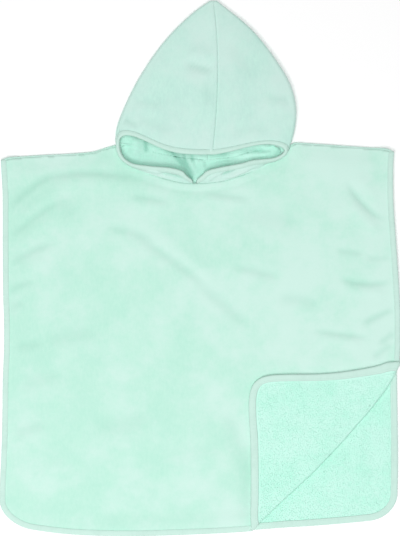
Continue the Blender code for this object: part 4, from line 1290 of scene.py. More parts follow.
@dataclass
class HoodHalf:
    """One cut and sewn half of the hood."""

    side: Side
    ray_step: float = 0.125
    under_count: int = 22
    turn_count: int = 14
    upper_count: int = 44
    under_fade: float = 0.03   # share of a ray over which folds set in on the lower layer
    upper_fade: float = 0.05   # and on the upper
    rim_fade: float = 0.12     # share before the rim in which the swells die away
    swells: Sequence[tuple[float, float, float]] = ((34.0, 0.35, 3.7), (15.0, 0.16, 9.1))
    seam_dip: float = 0.7
    seam_dip_width: float = 1.3
    seam_ridge: tuple[float, float] = (2.6, 2.4)    # distance from the seam and width
    shape: HoodShape = field(init=False)

    def __post_init__(self) -> None:
        """Set up its middle surface."""
        self.shape = HoodShape(self.side)
        self.name = f"hood_{self.side.name.lower()}"
        self.ridge = 1.9 if self.side is Side.LEFT else 0.5    # the allowance lies to the left

    def shares(self) -> np.ndarray:
        """Shares of the way at which each ray has a point.

        Returns:
            Rising values from 0 to 1.
        """
        shape = self.shape
        upper = np.linspace(0, 1, self.upper_count + 1)[1:]
        return np.concatenate([
            np.linspace(0, shape.under_end, self.under_count, endpoint=False),
            np.linspace(shape.under_end, shape.turn_end, self.turn_count),
            shape.turn_end + (1 - shape.turn_end) * upper])

    def rays(self) -> np.ndarray:
        """Row numbers of the rays.

        Returns:
            Rising values, closer together beside the centre seam.
        """
        last = self.shape.last
        return np.concatenate([np.arange(0, last - 1, self.ray_step),
                               last - 1 + np.array([0, 0.3, 0.55, 0.78, 1.0])])

    def middle(self) -> tuple[np.ndarray, np.ndarray, np.ndarray]:
        """Middle surface before it is creased.

        Returns:
            Points by ray and share, the shares, and how far each ray lies back.
        """
        shape, shares, rays = self.shape, self.shares(), self.rays()
        grid = np.array([shape.ray(u, shares) for u in rays])
        lies = np.array([float(np.clip(shape.section(u).lies, 0, 1)) for u in rays])
        return grid, shares, lies

    def normals(self, grid: np.ndarray) -> np.ndarray:
        """Outward direction at each point of the grid."""
        along, across = np.gradient(grid, axis=1), np.gradient(grid, axis=0)
        return unit(np.cross(along, across)) * self.side.value

    def creased(self) -> np.ndarray:
        """Middle surface with its folds, the seam ridge and the turn into the seams.

        Returns:
            Points by ray and share.
        """
        shape = self.shape
        grid, shares, lies = self.middle()
        normals = self.normals(grid)
        count, across = grid.shape[:2]
        flat = grid.reshape(-1, 3)
        v = np.tile(shares, count)
        lie = np.repeat(lies, across)
        masks = {
            Layer.UPPER: ease((v - shape.turn_end) / self.upper_fade) * lie,
            Layer.LOWER: ease((shape.under_end - v) / self.under_fade) * lie,
            Layer.COLLAR: (1 - lie) * np.sin(np.pi * np.clip(v, 0, 1)),
        }
        # folds behind the neck above 0 lift the lower layer; those below 0 are only painted as shade
        nape = np.maximum(crease_heights(flat[:, :2], NAPE_FOLDS), 0)
        moved = -nape * masks[Layer.LOWER]
        folded = sum(crease_heights(flat[:, :2], folds) * masks[layer]
                     for layer, folds in HOOD_FOLDS.items())
        moved += folded
        # painted shade: darker in the troughs of the hood's folds and in the painted-only troughs
        # behind the neck
        dark = nape_painted_shade(flat[:, :2]) / NAPE_SHADE_DEPTH * masks[Layer.LOWER]
        painted_hollow_shade = (folded / -HOOD_SHADE_DEPTH - dark).reshape(count, across)
        self.painted_hollow_shade = np.column_stack([painted_hollow_shade[:, :1], painted_hollow_shade]).ravel()
        near_rim = ease((1 - v) / self.rim_fade)
        moved += swells(flat, self.swells) * masks[Layer.UPPER] * near_rim
        moved = moved.reshape(count, across)
        seam = (shape.last - self.rays()) * shape.seam_band
        ridge = self.ridge * bell(seam, *self.seam_ridge)
        dip = self.seam_dip * bell(seam, 0, self.seam_dip_width)
        moved += masks[Layer.UPPER].reshape(count, across) * (ridge - dip)[:, None]
        out = grid + normals * moved[:, :, None]
        out[:, :, 2] = np.maximum(out[:, :, 2], CLOTH / 2)
        foot = grid[:, 0].copy()
        foot[:, 2] += (nape * lie).reshape(count, across)[:, 0]
        foot[:, :2] -= unit(grid[:, 2, :2] - grid[:, 0, :2] + 1e-9) * shape.foot_out
        foot[:, 2] = np.maximum(foot[:, 2] - shape.foot_drop * (1 - 0.8 * lies), CLOTH / 2)
        return np.concatenate([foot[:, None], out], axis=1)

    def build(self, wardrobe: Wardrobe) -> None:
        """Make the cloth.

        Args:
            wardrobe: Finishes.
        """
        grid = self.creased()
        count, across = grid.shape[:2]
        faces = sheet_faces(count, across)
        if self.side is Side.LEFT:
            faces = faces[:, ::-1]
        run = np.array([lengths(ray) for ray in grid])
        girth = lengths(grid[:, across * 3 // 4])
        cut = np.dstack([np.repeat(girth[:, None], across, axis=1), run]).reshape(-1, 2)
        points = grid.reshape(-1, 3)
        piece = cloth_piece(self.name + "_cloth", points, faces, cut, CLOTH,
                            [wardrobe.shaded_hood_velour, wardrobe.terry], self.painted_hollow_shade)
        settle(piece, self.name, self.name)


@dataclass
class HoodTape:
    """Binding round the face edge of the hood."""

    left: HoodHalf
    right: HoodHalf
    outside: float = 6.0
    inside: float = 9.0
    out: float = 1.5
    ray_step: float = 0.1
    stitch_depth: float = 4.95
    stitch_height: float = RIM_OFF + 0.2

    def section(self) -> np.ndarray:
        """Cross-section of the tape: distance inside the rim and height off the cloth.

        Returns:
            One pair per place in the section.
        """
        off = RIM_OFF
        return np.array([(self.outside, off - 0.15), (5.3, off - 0.35), (4.6, off - 0.35),
                         (3.7, off - 0.05), (2.5, off + 0.12), (1.0, off + 0.1), (0.0, off - 0.1),
                         (-0.8, off - 0.55), (-self.out, 0.9), (-self.out - 0.1, 0.0),
                         (-self.out, -0.9), (-0.8, 0.55 - off), (0.0, 0.1 - off),
                         (1.2, -off - 0.1), (2.8, -off), (4.6, 0.3 - off), (6.0, 0.05 - off),
                         (7.6, 0.0 - off), (self.inside, 0.1 - off)])

    def sweep(self, section: np.ndarray) -> np.ndarray:
        """Points of the tape from the throat round and back to it.

        Args:
            section: Distances inside the rim and heights off the cloth.

        Returns:
            Points by station and place in the section.
        """
        left, right, step = self.left.shape, self.right.shape, self.ray_step
        depths, offs = section.T
        path = [(left, u) for u in np.arange(0, left.last + 0.01, step)]
        path += [(right, u) for u in np.arange(right.last - step, -0.01, -step)]
        out = []
        for shape, u in path:
            u = float(np.clip(u, 0, shape.last))
            around = (shape.near_rim(min(u + 0.05, shape.last), depths)
                      - shape.near_rim(max(u - 0.05, 0.0), depths))
            deeper = shape.near_rim(u, depths + 0.4) - shape.near_rim(u, depths - 0.4)
            normal = unit(np.cross(around, deeper)) * shape.side.value
            out.append(shape.near_rim(u, depths) + normal * offs[:, None])
        return np.array(out)

    def build(self, wardrobe: Wardrobe, stitches: StitchRow) -> None:
        """Make the tape and its stitches.

        Args:
            wardrobe: Finishes.
            stitches: Sewing.
        """
        make_tape("hood_tape", "hood_binding", self.sweep(self.section()), wardrobe)
        sew_edge("hood_stitches", "hood_binding", self.sweep, self.stitch_depth,
                 (self.stitch_height, -self.stitch_height), wardrobe, stitches)


def make_tape(name: str, node: str, rows: np.ndarray, wardrobe: Wardrobe) -> None:
    """Make a length of folded tape.

    Args:
        name: Name of the piece.
        node: Solid that it replaces.
        rows: Points by station and place in the cross-section.
        wardrobe: Finishes.
    """
    faces = sheet_faces(*rows.shape[:2])
    run = lengths(rows[:, rows.shape[1] // 2])
    width = np.median([lengths(row) for row in rows], axis=0)
    cut = np.dstack(np.meshgrid(run, width, indexing="ij")).reshape(-1, 2)
    piece = cloth_piece(name, rows.reshape(-1, 3), faces, cut, TAPE, [wardrobe.tape])
    settle(piece, node, node)
    log.info("%s: %.0f x %.1f mm", name, run[-1], width[-1])


def sew_edge(name: str, slot: str, sweep: Callable[[np.ndarray], np.ndarray], depth: float,
             heights: tuple[float, float], wardrobe: Wardrobe, stitches: StitchRow) -> None:
    """Sew a bound edge, on both of its faces.

    Args:
        name: Name of the piece.
        slot: Material slot of the record.
        sweep: Gives the points along the edge of a cross-section.
        depth: Distance of the stitches inside the edge.
        heights: Their height off the cloth on either face.
        wardrobe: Finishes.
        stitches: Sewing.
    """
    paths = []
    for height in heights:
        line = sweep(np.array([(depth, height), (depth, 0.0)]))
        paths.append((line[:, 0], unit(line[:, 0] - line[:, 1])))
    settle(stitches.sew(name, paths, wardrobe.thread), slot)


# ================================================================= panels
def neck_edge(front: bool, clear: float, side_clear: float, side_run: float) -> np.ndarray:
    """Neck edge of a panel: the hood's neck line moved out.

    Args:
        front: Front panel rather than back.
        clear: Distance from the hood's middle at the centre.
        side_clear: The same at the shoulder seams.
        side_run: Distance over which one passes into the other.

    Returns:
        Line from the left shoulder to the right.
    """
    left, right = (np.array(HOOD_ROWS[side], float)[:, :2] for side in (Side.LEFT, Side.RIGHT))
    if front:
        rows = np.vstack([left[:8][::-1], right[:10]])
    else:
        rows = np.vstack([left[9:], right[11:][::-1]])
    ring = smooth_line(rows, 3.0)
    run = lengths(ring)
    share = ease(np.minimum(run, run[-1] - run) / side_run)
    edge = shifted(ring, -(side_clear + (clear - side_clear) * share))
    return chain([LEFT_SHOULDER[-1]], edge, [RIGHT_SHOULDER[0]])


@dataclass
class Panel:
    """Outline of a panel and how it lies; the back is lifted only by its own binding."""

    name: str
    bound: np.ndarray
    neck: np.ndarray
    creases: Sequence[Crease]
    seed: float
    pitch: float = 5.0
    station: float = 6.0
    level: float = CLOTH / 2
    edge_level: float = BOUND_HALF
    edge_flat: float = 12.0
    edge_run: float = 26.0
    edge_rows: tuple[float, ...] = (4.0, 8.0, 12.0)    # rows of points inside the bound edge
    neck_rows: tuple[float, ...] = (2.4, 4.6, 6.8, 9.0, 11.4)    # and inside the neck edge
    edge_clear: float = 14.0   # even points start this far inside the bound edge
    open_step: float = 4.0
    apart: float = 3.0         # least distance of a station from a fixed one
    waves: float = 0.55        # height of the waves inside the binding
    wave_size: float = 17.0
    waves_in: tuple[float, float] = (7.0, 6.0)      # where they set in, over what distance,
    waves_out: tuple[float, float] = (14.0, 22.0)   # and the same where they die away

    def __post_init__(self) -> None:
        """Work out the open edge and the length of the bound one."""
        self.open_edge = chain(smooth_line(LEFT_SHOULDER, 3.0), self.neck,
                               smooth_line(RIGHT_SHOULDER, 3.0))
        self.run = lengths(self.bound)

    def edge_gap(self, points: np.ndarray) -> np.ndarray:
        """Distance of flat points from the bound edge."""
        return distance_to(points, self.bound[::3])

    def lift(self, points: np.ndarray) -> np.ndarray:
        """Share of the rise towards the bound edge at flat points."""
        return 1 - ease((self.edge_gap(points) - self.edge_flat) / self.edge_run)

    def pucker(self, points: np.ndarray) -> np.ndarray:
        """Small waves that the sewing leaves inside the binding.

        Args:
            points: Flat points.

        Returns:
            One height per point.
        """
        gap = self.edge_gap(points)
        band = (ease((gap - self.waves_in[0]) / self.waves_in[1])
                * (1 - ease((gap - self.waves_out[0]) / self.waves_out[1])))
        return band * ripple(points, self.wave_size, self.seed + 5.3) * self.waves

    def lay(self, points: np.ndarray) -> np.ndarray:
        """Flat points to where they lie.

        Args:
            points: Flat points.

        Returns:
            Points in space.
        """
        lift = self.lift(points)
        folds = np.maximum(crease_heights(points, self.creases), 0)
        folds = folds + np.maximum(crease_heights(points, NAPE_FOLDS), 0)
        height = self.level + (self.edge_level - self.level) * lift + folds * (1 - lift)
        return np.column_stack([points, height])

    def normals(self, points: np.ndarray, step: float = 0.2) -> np.ndarray:
        """Upward normal of the laid cloth before it is turned.

        Args:
            points: Flat points.
            step: Distance over which the slope is taken.

        Returns:
            Unit vectors.
        """
        ex, ey = np.array([step, 0]), np.array([0, step])
        du = self.lay(points + ex) - self.lay(points - ex)
        dv = self.lay(points + ey) - self.lay(points - ey)
        return unit(np.cross(du, dv))

    def extra_stations(self) -> list[float]:
        """Distances along the bound edge that must be stations."""
        return []

    def stations(self) -> np.ndarray:
        """Distances along the bound edge at which the binding has a row of points.

        Returns:
            Rising values from 0 to the length of the edge.
        """
        fixed = sorted(self.extra_stations())
        even = np.linspace(0, self.run[-1], int(self.run[-1] / self.station) + 1)
        free = [s for s in even[1:-1] if all(abs(s - f) > self.apart for f in fixed)]
        return np.array(sorted([0.0, *free, *fixed, self.run[-1]]))

    def edge_frame(self, s: np.ndarray) -> tuple[np.ndarray, np.ndarray]:
        """Edge points at distances s and the vector that leads 1 mm inside at each."""
        tangent = unit(at_length(directions(self.bound), self.run, s))
        return at_length(self.bound, self.run, s), self.inward(s, tangent)

    def inward(self, s: np.ndarray, tangent: np.ndarray) -> np.ndarray:
        """Vector that leads one millimetre inside the edge."""
        return np.column_stack([tangent[:, 1], -tangent[:, 0]])

    def lines(self) -> list[np.ndarray]:
        """Lines that the mesh must follow."""
        return []

    def neck_rings(self) -> list[np.ndarray]:
        """Rows of points beside the neck edge, for its soft roll.

        Returns:
            One array per row.
        """
        rows = []
        for off in self.neck_rows:
            line = shifted(self.neck, -off)
            rows.append(line[distance_to(line, self.open_edge) > off * 0.9])
        return rows

    def flat_mesh(self) -> tuple[np.ndarray, np.ndarray]:
        """Triangles over the outline, with rows of points along edges and lines.

        Returns:
            Flat points and triangles.
        """
        pitch = self.pitch
        edge, lead = self.edge_frame(self.stations())
        rings = [edge + lead * depth for depth in self.edge_rows]
        open_run = lengths(self.open_edge)
        open_pts = at_length(self.open_edge, open_run,
                             np.linspace(0, open_run[-1], int(open_run[-1] / self.open_step) + 1))
        for corner in (LEFT_SHOULDER[-1], RIGHT_SHOULDER[0]):
            nearest = np.argmin(np.linalg.norm(open_pts - np.array(corner), axis=1))
            open_pts[nearest] = corner
        self.open_pts = open_pts
        outline = chain(edge, open_pts)[:-1]
        verts = list(outline)
        edges = [(k, (k + 1) % len(outline)) for k in range(len(outline))]
        for line in rings[-1:] + self.lines():
            first = len(verts)
            verts += list(line)
            edges += [(first + k, first + k + 1) for k in range(len(line) - 1)]
        for line in rings[:-1] + self.neck_rings():
            verts += list(line)
        fixed = np.array(verts)
        low, high = outline.min(axis=0), outline.max(axis=0)
        grid = np.array([(x + (pitch / 2 if row % 2 else 0), y)
                         for row, y in enumerate(np.arange(low[1], high[1], pitch * ROW_HEIGHT))
                         for x in np.arange(low[0], high[0], pitch)])
        grid = grid[inside(grid, outline)]
        grid = grid[self.edge_gap(grid) > self.edge_clear]
        grid = grid[distance_to(grid, fixed) > pitch * 0.5]
        verts += list(grid)
        out = delaunay_2d_cdt([Vector(v) for v in verts], edges, [], 0, 1e-5, False)
        points = np.array([v[:] for v in out[0]])
        tris = np.array(out[2])
        return points, tris[inside(points[tris].mean(axis=1), outline)]

    def shoulder_turn(self, other: "Panel", upper: bool) -> tuple[np.ndarray, np.ndarray]:
        """Strips that turn over from the shoulder lines to the other panel.

        Args:
            other: Panel on the other side of the seam.
            upper: This is the upper of the two.

        Returns:
            Points and quads, upward side first.
        """
        points, faces, first = [], [], 0
        for line in (smooth_line(LEFT_SHOULDER, 4.0), smooth_line(RIGHT_SHOULDER[::-1], 4.0)):
            here, there = self.lay(line), other.lay(line)
            half, middle = (here[:, 2] - there[:, 2]) / 2, (here[:, 2] + there[:, 2]) / 2
            t = directions(line)
            out = np.column_stack([-t[:, 1], t[:, 0]])
            out *= np.sign(out[:, 1:2])
            rows = []
            for angle, reach in ((0, 1.0), (25, 1.0), (50, 1.0), (72, 1.0), (86, 0.9), (90, 0.5)):
                a = math.radians(angle)
                flat = line + out * (np.abs(half) * math.sin(a) * reach)[:, None]
                rows.append(np.column_stack([flat, middle + half * math.cos(a)]))
            count = len(rows)
            points.append(np.array(rows).reshape(-1, 3))
            quads = sheet_faces(count, len(line)) + first
            rightward = line[-1, 0] > line[0, 0]
            faces.append(quads[:, ::-1] if rightward == upper else quads)
            first += count * len(line)
        return np.vstack(points), np.vstack(faces)

    def tape_section(self) -> np.ndarray:
        """Cross-section of the binding: distance inside the edge, height off the cloth.

        Returns:
            One pair per place in the section.
        """
        off = TAPE_OFF
        return np.array([(7.5, off - 0.05), (6.7, off - 0.2), (5.9, off - 0.2), (4.8, off),
                         (3.2, off + 0.12), (1.4, off + 0.1), (0.2, off - 0.1),
                         (-0.6, off - 0.5), (-1.1, 0.8), (-1.2, 0.0), (-1.1, -0.8),
                         (-0.6, 0.5 - off), (0.2, 0.1 - off), (1.4, -off), (4.0, -off),
                         (5.9, 0.1 - off), (7.4, -off), (9.2, 0.05 - off)])

    def sweep(self, section: np.ndarray, other: "Panel") -> np.ndarray:
        """Points along the bound edge, carried over the shoulders to the seam.

        Args:
            section: Distances inside the edge and heights off the cloth.
            other: Panel on the other side of the shoulder seams.

        Returns:
            Points by station and place in the section.
        """
        s = self.stations()
        edge, lead = self.edge_frame(s)
        rows = []
        for depth, off in section:
            flat = edge + lead * depth
            rows.append(self.lay(flat) + self.outward(flat) * off)
        rows = np.array(rows).transpose(1, 0, 2)
        over = []
        for end in (0, -1):
            here = self.lay(edge[[end]])[0]
            there = other.lay(edge[[end]])[0]
            half, middle = (here[2] - there[2]) / 2, (here[2] + there[2]) / 2
            side = np.array([0.0, 1.0])
            bend = []
            for angle in (90, 65, 40, 18):
                a = math.radians(angle)
                row = []
                for depth, off in section:
                    radius = abs(half) + off
                    flat = edge[end] + lead[end] * depth + side * radius * math.sin(a)
                    row.append([*flat, middle + math.copysign(radius, half) * math.cos(a)])
                bend.append(row)
            over.append(np.array(bend if end == 0 else bend[::-1]))
        return np.vstack([over[0], rows, over[1]])

    def outward(self, points: np.ndarray) -> np.ndarray:
        """Direction that the velour side faces at flat points."""
        return -self.normals(points)


@dataclass
class FrontPanel(Panel):
    """Front panel: a little air under it, one corner turned up."""

    level: float = CLOTH * 1.5 + SEAM_GAP
    edge_level: float = 3 * BOUND_HALF + SEAM_GAP
    loft: float = 3.0
    loft_run: float = 30.0
    least_loft: float = 0.12   # share of the loft that a trough leaves
    press: float = 0.7         # share of the loft lost under the turned corner:
    press_from: float = 230.0  # it sets in this far before the fold
    press_below: float = -150.0
    press_run: float = 60.0
    roll: tuple[float, float] = (3.7, 4.6)     # roll beside the neck: distance and width
    roll_height: float = 2.6
    dip: tuple[float, float] = (12.0, 3.0)     # and the dip inside it
    dip_depth: float = 1.0
    roll_below: float = 158.0
    roll_run: float = 14.0
    rest_run: float = 40.0     # the turned layer comes to rest over this distance
    rest_drop: float = 1.5
    swing_run: float = 24.0    # the way inside swings over this distance from the fold
    fold_points: int = 58
    corner: TurnedCorner = field(default_factory=TurnedCorner)

    def flat_height(self, points: np.ndarray) -> np.ndarray:
        """Height of the cloth's middle before the corner is turned.

        Args:
            points: Flat points.

        Returns:
            One height per point.
        """
        gap = self.edge_gap(points)
        lift = 1 - ease((gap - self.edge_flat) / self.edge_run)
        open_gap = distance_to(points, self.open_edge)
        neck_gap = distance_to(points, self.neck)
        beyond = self.corner.coords(points)[1]
        pressed = (self.press * ease((beyond + self.press_from) / self.press_run)
                   * ease((self.press_below - points[:, 1]) / self.press_run))
        loft = self.loft * ease(np.minimum(gap, open_gap) / self.loft_run) * (1 - pressed)
        folds = crease_heights(points, self.creases) * ease(open_gap / self.loft_run)
        ridge = self.roll_height * bell(neck_gap, *self.roll)
        ridge -= self.dip_depth * bell(neck_gap, *self.dip)
        ridge *= ease((self.roll_below - points[:, 1]) / self.roll_run)
        air = np.maximum(loft + folds + ridge, loft * self.least_loft)
        return self.level + (self.edge_level - self.level) * lift + air * (1 - lift)

    def lay(self, points: np.ndarray) -> np.ndarray:
        """Flat points to where they lie, the corner turned.

        Args:
            points: Flat points.

        Returns:
            Points in space.
        """
        corner = self.corner
        along, beyond, bulge = corner.coords(points)
        angle = np.clip(beyond / corner.radius, 0, np.pi)
        out = bulge + np.where(beyond < 0, beyond, corner.radius * np.sin(angle))
        past = np.maximum(beyond - corner.run, 0)
        placed = corner.place(along, out - past)
        foot = corner.place(along, bulge)
        base = self.flat_height(np.where(beyond[:, None] < 0, points, foot))
        under = self.flat_height(placed)
        rest = ease(past / self.rest_run)
        resting = base * (1 - rest) + np.maximum(under, base - self.rest_drop) * rest
        base = np.where(past > 0, resting, base)
        return np.column_stack([placed, base + corner.radius * (1 - np.cos(angle))])

    def outward(self, points: np.ndarray) -> np.ndarray:
        """Direction that the velour side faces at flat points."""
        return self.normals(points)

    def fold_crossings(self) -> list[np.ndarray]:
        """Distances along the edge where each line of the turn crosses it.

        Returns:
            Two distances for each line.
        """
        beyond = self.corner.coords(self.bound)[1]
        rows = []
        for k in range(self.corner.steps + 1):
            gap = beyond - self.corner.run * k / self.corner.steps
            cuts = np.nonzero(gap[:-1] * gap[1:] < 0)[0][[0, -1]]
            share = gap[cuts] / (gap[cuts] - gap[cuts + 1])
            rows.append(self.run[cuts] + (self.run[cuts + 1] - self.run[cuts]) * share)
        return rows

    def extra_stations(self) -> list[float]:
        """Distances along the bound edge where the turn passes."""
        return [float(s) for pair in self.fold_crossings() for s in pair]

    def inward(self, s: np.ndarray, tangent: np.ndarray) -> np.ndarray:
        """Way inside the edge, swung parallel to the fold near it.

        Args:
            s: Distances along the bound edge.
            tangent: Direction of the edge there.

        Returns:
            One vector per distance.
        """
        square = super().inward(s, tangent)
        points = at_length(self.bound, self.run, s)
        along, beyond, _ = self.corner.coords(points)
        line = self.corner.tilt(along)
        line = line * np.sign((line * square).sum(axis=1))[:, None]
        near = np.abs(beyond - self.corner.run / 2) - self.corner.run / 2
        share = 1 - ease((near - 1.0) / self.swing_run)
        lead = square * (1 - share)[:, None] + line * share[:, None]
        return lead / (lead * square).sum(axis=1)[:, None]

    def lines(self) -> list[np.ndarray]:
        """Lines along the turn of the fold, from one edge strip to the other.

        Returns:
            One array per line.
        """
        out = []
        for k, pair in enumerate(self.fold_crossings()):
            edge, lead = self.edge_frame(np.array(pair))
            ends = edge + lead * self.edge_rows[-1]
            place = self.corner.coords(ends)[0]
            order = np.argsort(place)
            start, end = place[order]
            along = np.linspace(start, end, self.fold_points)
            bulge = self.corner.coords(self.corner.place(along, along * 0))[2]
            line = self.corner.place(along, bulge + self.corner.run * k / self.corner.steps)
            line[[0, -1]] = ends[order]
            out.append(line)
        return out


def bound_outline(right_edge: Line, corner_part: np.ndarray, hem: Line,
                  inset: float) -> np.ndarray:
    """Bound edge from the right shoulder round the hem to the left shoulder.

    Args:
        right_edge: Points down the right side.
        corner_part: Points round the right corner.
        hem: Points along the hem towards the left.
        inset: Distance that the line is moved in.

    Returns:
        The line.
    """
    left_corner = rounded(HEM_LEFT[0], LEFT_CORNER, LEFT_EDGE[-1], 1.0)
    line = chain(smooth_line([RIGHT_SHOULDER[-1]] + list(right_edge), 1.0), corner_part,
                 smooth_line(hem, 1.0), left_corner,
                 smooth_line(LEFT_EDGE[::-1] + [LEFT_SHOULDER[0]], 1.0))
    if inset:
        fade = np.minimum(lengths(line), lengths(line)[-1] - lengths(line)) / INSET_RUN
        line = shifted(line, -inset * ease(fade))
    return line


def anticlockwise(flat: np.ndarray, tris: np.ndarray) -> np.ndarray:
    """Flat triangles, all turned over if the first of them runs clockwise."""
    (ax, ay), (bx, by), (cx, cy) = flat[tris[0]]
    return tris if (bx - ax) * (cy - ay) > (by - ay) * (cx - ax) else tris[:, ::-1]


@dataclass
class Body:
    """Front and back panels with their binding, stitches and the loops that show."""

    wardrobe: Wardrobe
    stitches: StitchRow
    loops: LoopField
    swells: Sequence[tuple[float, float, float]] = ((42.0, 0.35, 0.0), (19.0, 0.15, 2.0))
    calm: float = 0.8          # share of the swells that the binding presses flat
    stitch_depth: float = 6.2
    stitch_heights: tuple[float, float] = (TAPE_OFF + 0.25, -TAPE_OFF - 0.3)
    edge_step: float = 1.0
    turned_gap: float = 10.2   # how far inside the bound edge the loops start on the corner
    back_gap: float = 7.5      # and on the back,
    back_reach: float = 30.0   # from this far under the fold
    back_below: float = -100.0

    def __post_init__(self) -> None:
        """Set out both panels."""
        corner = TurnedCorner()
        step = self.edge_step
        opened = corner.opened(np.array(TURNED_EDGE, float))
        knots = np.vstack([FRONT_RIGHT_EDGE[-1:], opened, HEM_LEFT[-1:]])
        front_bound = bound_outline(FRONT_RIGHT_EDGE, smooth_line(knots, step), HEM_LEFT[::-1], 0)
        back_corner = rounded(BACK_RIGHT_EDGE[-1], RIGHT_CORNER, HEM_RIGHT[-1], step)
        back_bound = bound_outline(BACK_RIGHT_EDGE, back_corner,
                                   HEM_RIGHT[::-1] + HEM_LEFT[::-1], BACK_INSET)
        self.front = FrontPanel("front", front_bound, neck_edge(True, -0.8, 1.2, 60.0),
                                FRONT_CREASES, 1.3, pitch=3.6, corner=corner)
        self.back = Panel("back", back_bound, neck_edge(False, -1.2, 0.9, 14.0), BACK_CREASES,
                          7.9, pitch=6.0)

    def build(self) -> None:
        """Make every piece of the body."""
        for panel, other in ((self.front, self.back), (self.back, self.front)):
            flat, tris = panel.flat_mesh()
            tris = anticlockwise(flat, tris)
            laid = self.laid(panel, flat)
            self.cloth(panel, other, laid, tris if panel is self.front else tris[:, ::-1], flat)
            self.binding(panel, other)
            self.show_loops(panel, laid, tris, flat)

    def laid(self, panel: Panel, flat: np.ndarray) -> np.ndarray:
        """Points of a panel as it lies, with the swells of soft cloth.

        Args:
            panel: The panel.
            flat: Flat points.

        Returns:
            Points in space.
        """
        fine = swells(flat, self.swells, panel.seed)
        rise = (fine + panel.pucker(flat)) * (1 - panel.lift(flat) * self.calm)
        if panel is self.back:
            rise = np.maximum(rise, 0)
        return panel.lay(flat) + panel.normals(flat) * rise[:, None]

    def cloth(self, panel: Panel, other: Panel, laid: np.ndarray, tris: np.ndarray,
              flat: np.ndarray) -> None:
        """Make the towelling of a panel, with its turn at the shoulders.

        Args:
            panel: The panel.
            other: The panel that it is sewn to.
            laid: Its points.
            tris: Its triangles, velour side out.
            flat: Flat place of each point.
        """
        name, slot, upper = panel.name + "_cloth", panel.name + "_panel", panel is self.front
        finishes = [self.wardrobe.velour, self.wardrobe.terry]
        # painted shade: darker in the troughs of the creases; on the back also in the painted-only
        # troughs behind the neck
        creased = -crease_heights(flat, panel.creases) / CREASE_SHADE_DEPTH
        if not upper:
            creased -= nape_painted_shade(flat) / NAPE_SHADE_DEPTH
        piece = cloth_piece(name, laid, tris, flat, CLOTH, finishes, creased)
        settle(piece, slot, slot)
        strip, quads = panel.shoulder_turn(other, upper)
        turn = cloth_piece(panel.name + "_shoulder_turn", strip, quads, strip[:, :2], CLOTH,
                           finishes)
        settle(turn, slot)

    def binding(self, panel: Panel, other: Panel) -> None:
        """Make the tape of a panel and its stitches.

        Args:
            panel: The panel.
            other: The panel that it is sewn to.
        """
        node = panel.name + "_binding"
        rows = panel.sweep(panel.tape_section(), other)
        if panel is self.back:
            rows = rows[:, ::-1]
        make_tape(panel.name + "_tape", node, rows, self.wardrobe)
        sew_edge(panel.name + "_stitches", node, lambda section: panel.sweep(section, other),
                 self.stitch_depth, self.stitch_heights, self.wardrobe, self.stitches)

    def show_loops(self, panel: Panel, laid: np.ndarray, tris: np.ndarray,
                   flat: np.ndarray) -> None:
        """Cover what shows of the inside with loops.

        Args:
            panel: The panel.
            laid: Its points.
            tris: Its triangles, anticlockwise in the flat.
            flat: Flat place of each point.
        """
        gap = panel.edge_gap(flat)
        beyond = self.front.corner.coords(flat)[1]
        inner = panel.normals(flat) * CLOTH / 2
        if panel is self.front:
            shown = (beyond > self.front.corner.run * 0.6) & (gap > self.turned_gap)
            tris = tris[:, ::-1]
            name, seed, surface = "turned_corner_loops", 11, laid - inner
        else:
            shown = ((beyond > -self.back_reach) & (gap > self.back_gap)
                     & (flat[:, 1] < self.back_below))
            name, seed, surface = "back_corner_loops", 23, laid + inner
        faces = tris[shown[tris].all(axis=1)]
        piece = self.loops.cover(name, surface, faces, self.wardrobe.loops, seed)
        settle(piece, panel.name + "_panel")


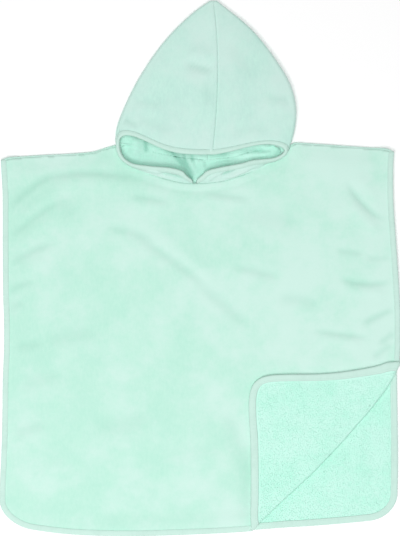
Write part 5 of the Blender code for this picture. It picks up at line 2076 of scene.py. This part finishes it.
# ================================================================= studio
@dataclass
class Studio:
    """Plain pale floor, soft light and the camera straight above."""

    frame_height: float = 0.8576
    lens: float = 200.0
    sensor: float = 36.0
    far: float = 20.0
    sun: float = 1.3
    sun_spread: float = 28.0
    softbox: float = 31.5
    softbox_size: float = 1.3
    softbox_place: tuple[float, float, float] = (-0.55, -1.15, 2.5)
    room: float = 0.32
    floor_half: float = 6.0

    def build(self) -> None:
        """Set up the floor, the lights and the camera."""
        scene = bpy.context.scene
        self.floor()
        self.light("overhead", "SUN", (0.0, 0.0, 1.0), energy=self.sun,
                   angle=math.radians(self.sun_spread))
        self.light("key", "AREA", self.softbox_place, shape="DISK", size=self.softbox_size,
                   energy=self.softbox)
        world = bpy.data.worlds.new("room")
        world.use_nodes = True
        NodeKit(world.node_tree).fill(world.node_tree.nodes["Background"],
                                        Color=(1, 1, 1, 1), Strength=self.room)
        scene.world = world
        scene.view_settings.view_transform = "Standard"
        camera = add_object("camera", bpy.data.cameras.new("camera"))
        camera.data.lens = self.lens
        camera.data.sensor_width = self.sensor
        camera.data.clip_end = self.far
        camera.location = (0, 0, self.frame_height * self.lens / self.sensor)
        scene.camera = camera

    def light(self, name: str, kind: str, place: tuple[float, float, float],
              **settings: object) -> None:
        """Add a light that faces the middle of the floor.

        Args:
            name: Its name.
            kind: Its type.
            place: Where it stands.
            **settings: Its own properties.
        """
        data = bpy.data.lights.new(name, kind)
        for key, value in settings.items():
            setattr(data, key, value)
        lamp = add_object(name, data)
        lamp.location = place
        lamp.rotation_mode = "QUATERNION"
        lamp.rotation_quaternion = Vector(place).to_track_quat("Z", "Y")

    def floor(self) -> None:
        """Lay the floor."""
        half = self.floor_half
        mesh = bpy.data.meshes.new("floor")
        mesh.from_pydata([(-half, -half, 0), (half, -half, 0), (half, half, 0), (-half, half, 0)],
                         [], [(0, 1, 2, 3)])
        finish = Finish("floor", (0.995, 0.995, 0.995), (0.985, 0.985, 0.985))
        material, kit, shader = finish.begin()
        cloud = kit.noise(kit.place(Coords.OBJECT), 0.6, 2.0, 0.5)
        kit.fill(shader, Base_Color=kit.mix(cloud, (*finish.dark, 1), (*finish.light, 1)),
                 Roughness=0.95, Specular_IOR_Level=0.1)
        mesh.materials.append(material)
        floor = add_object("floor", mesh)


def main() -> None:
    """Dress the poncho, piece by piece."""
    wardrobe, stitches = Wardrobe(), StitchRow()
    Body(wardrobe, stitches, LoopField()).build()
    left, right = HoodHalf(Side.LEFT), HoodHalf(Side.RIGHT)
    left.build(wardrobe)
    right.build(wardrobe)
    HoodTape(left, right).build(wardrobe, stitches)
    Studio().build()


if __name__ == "__main__":
    main()
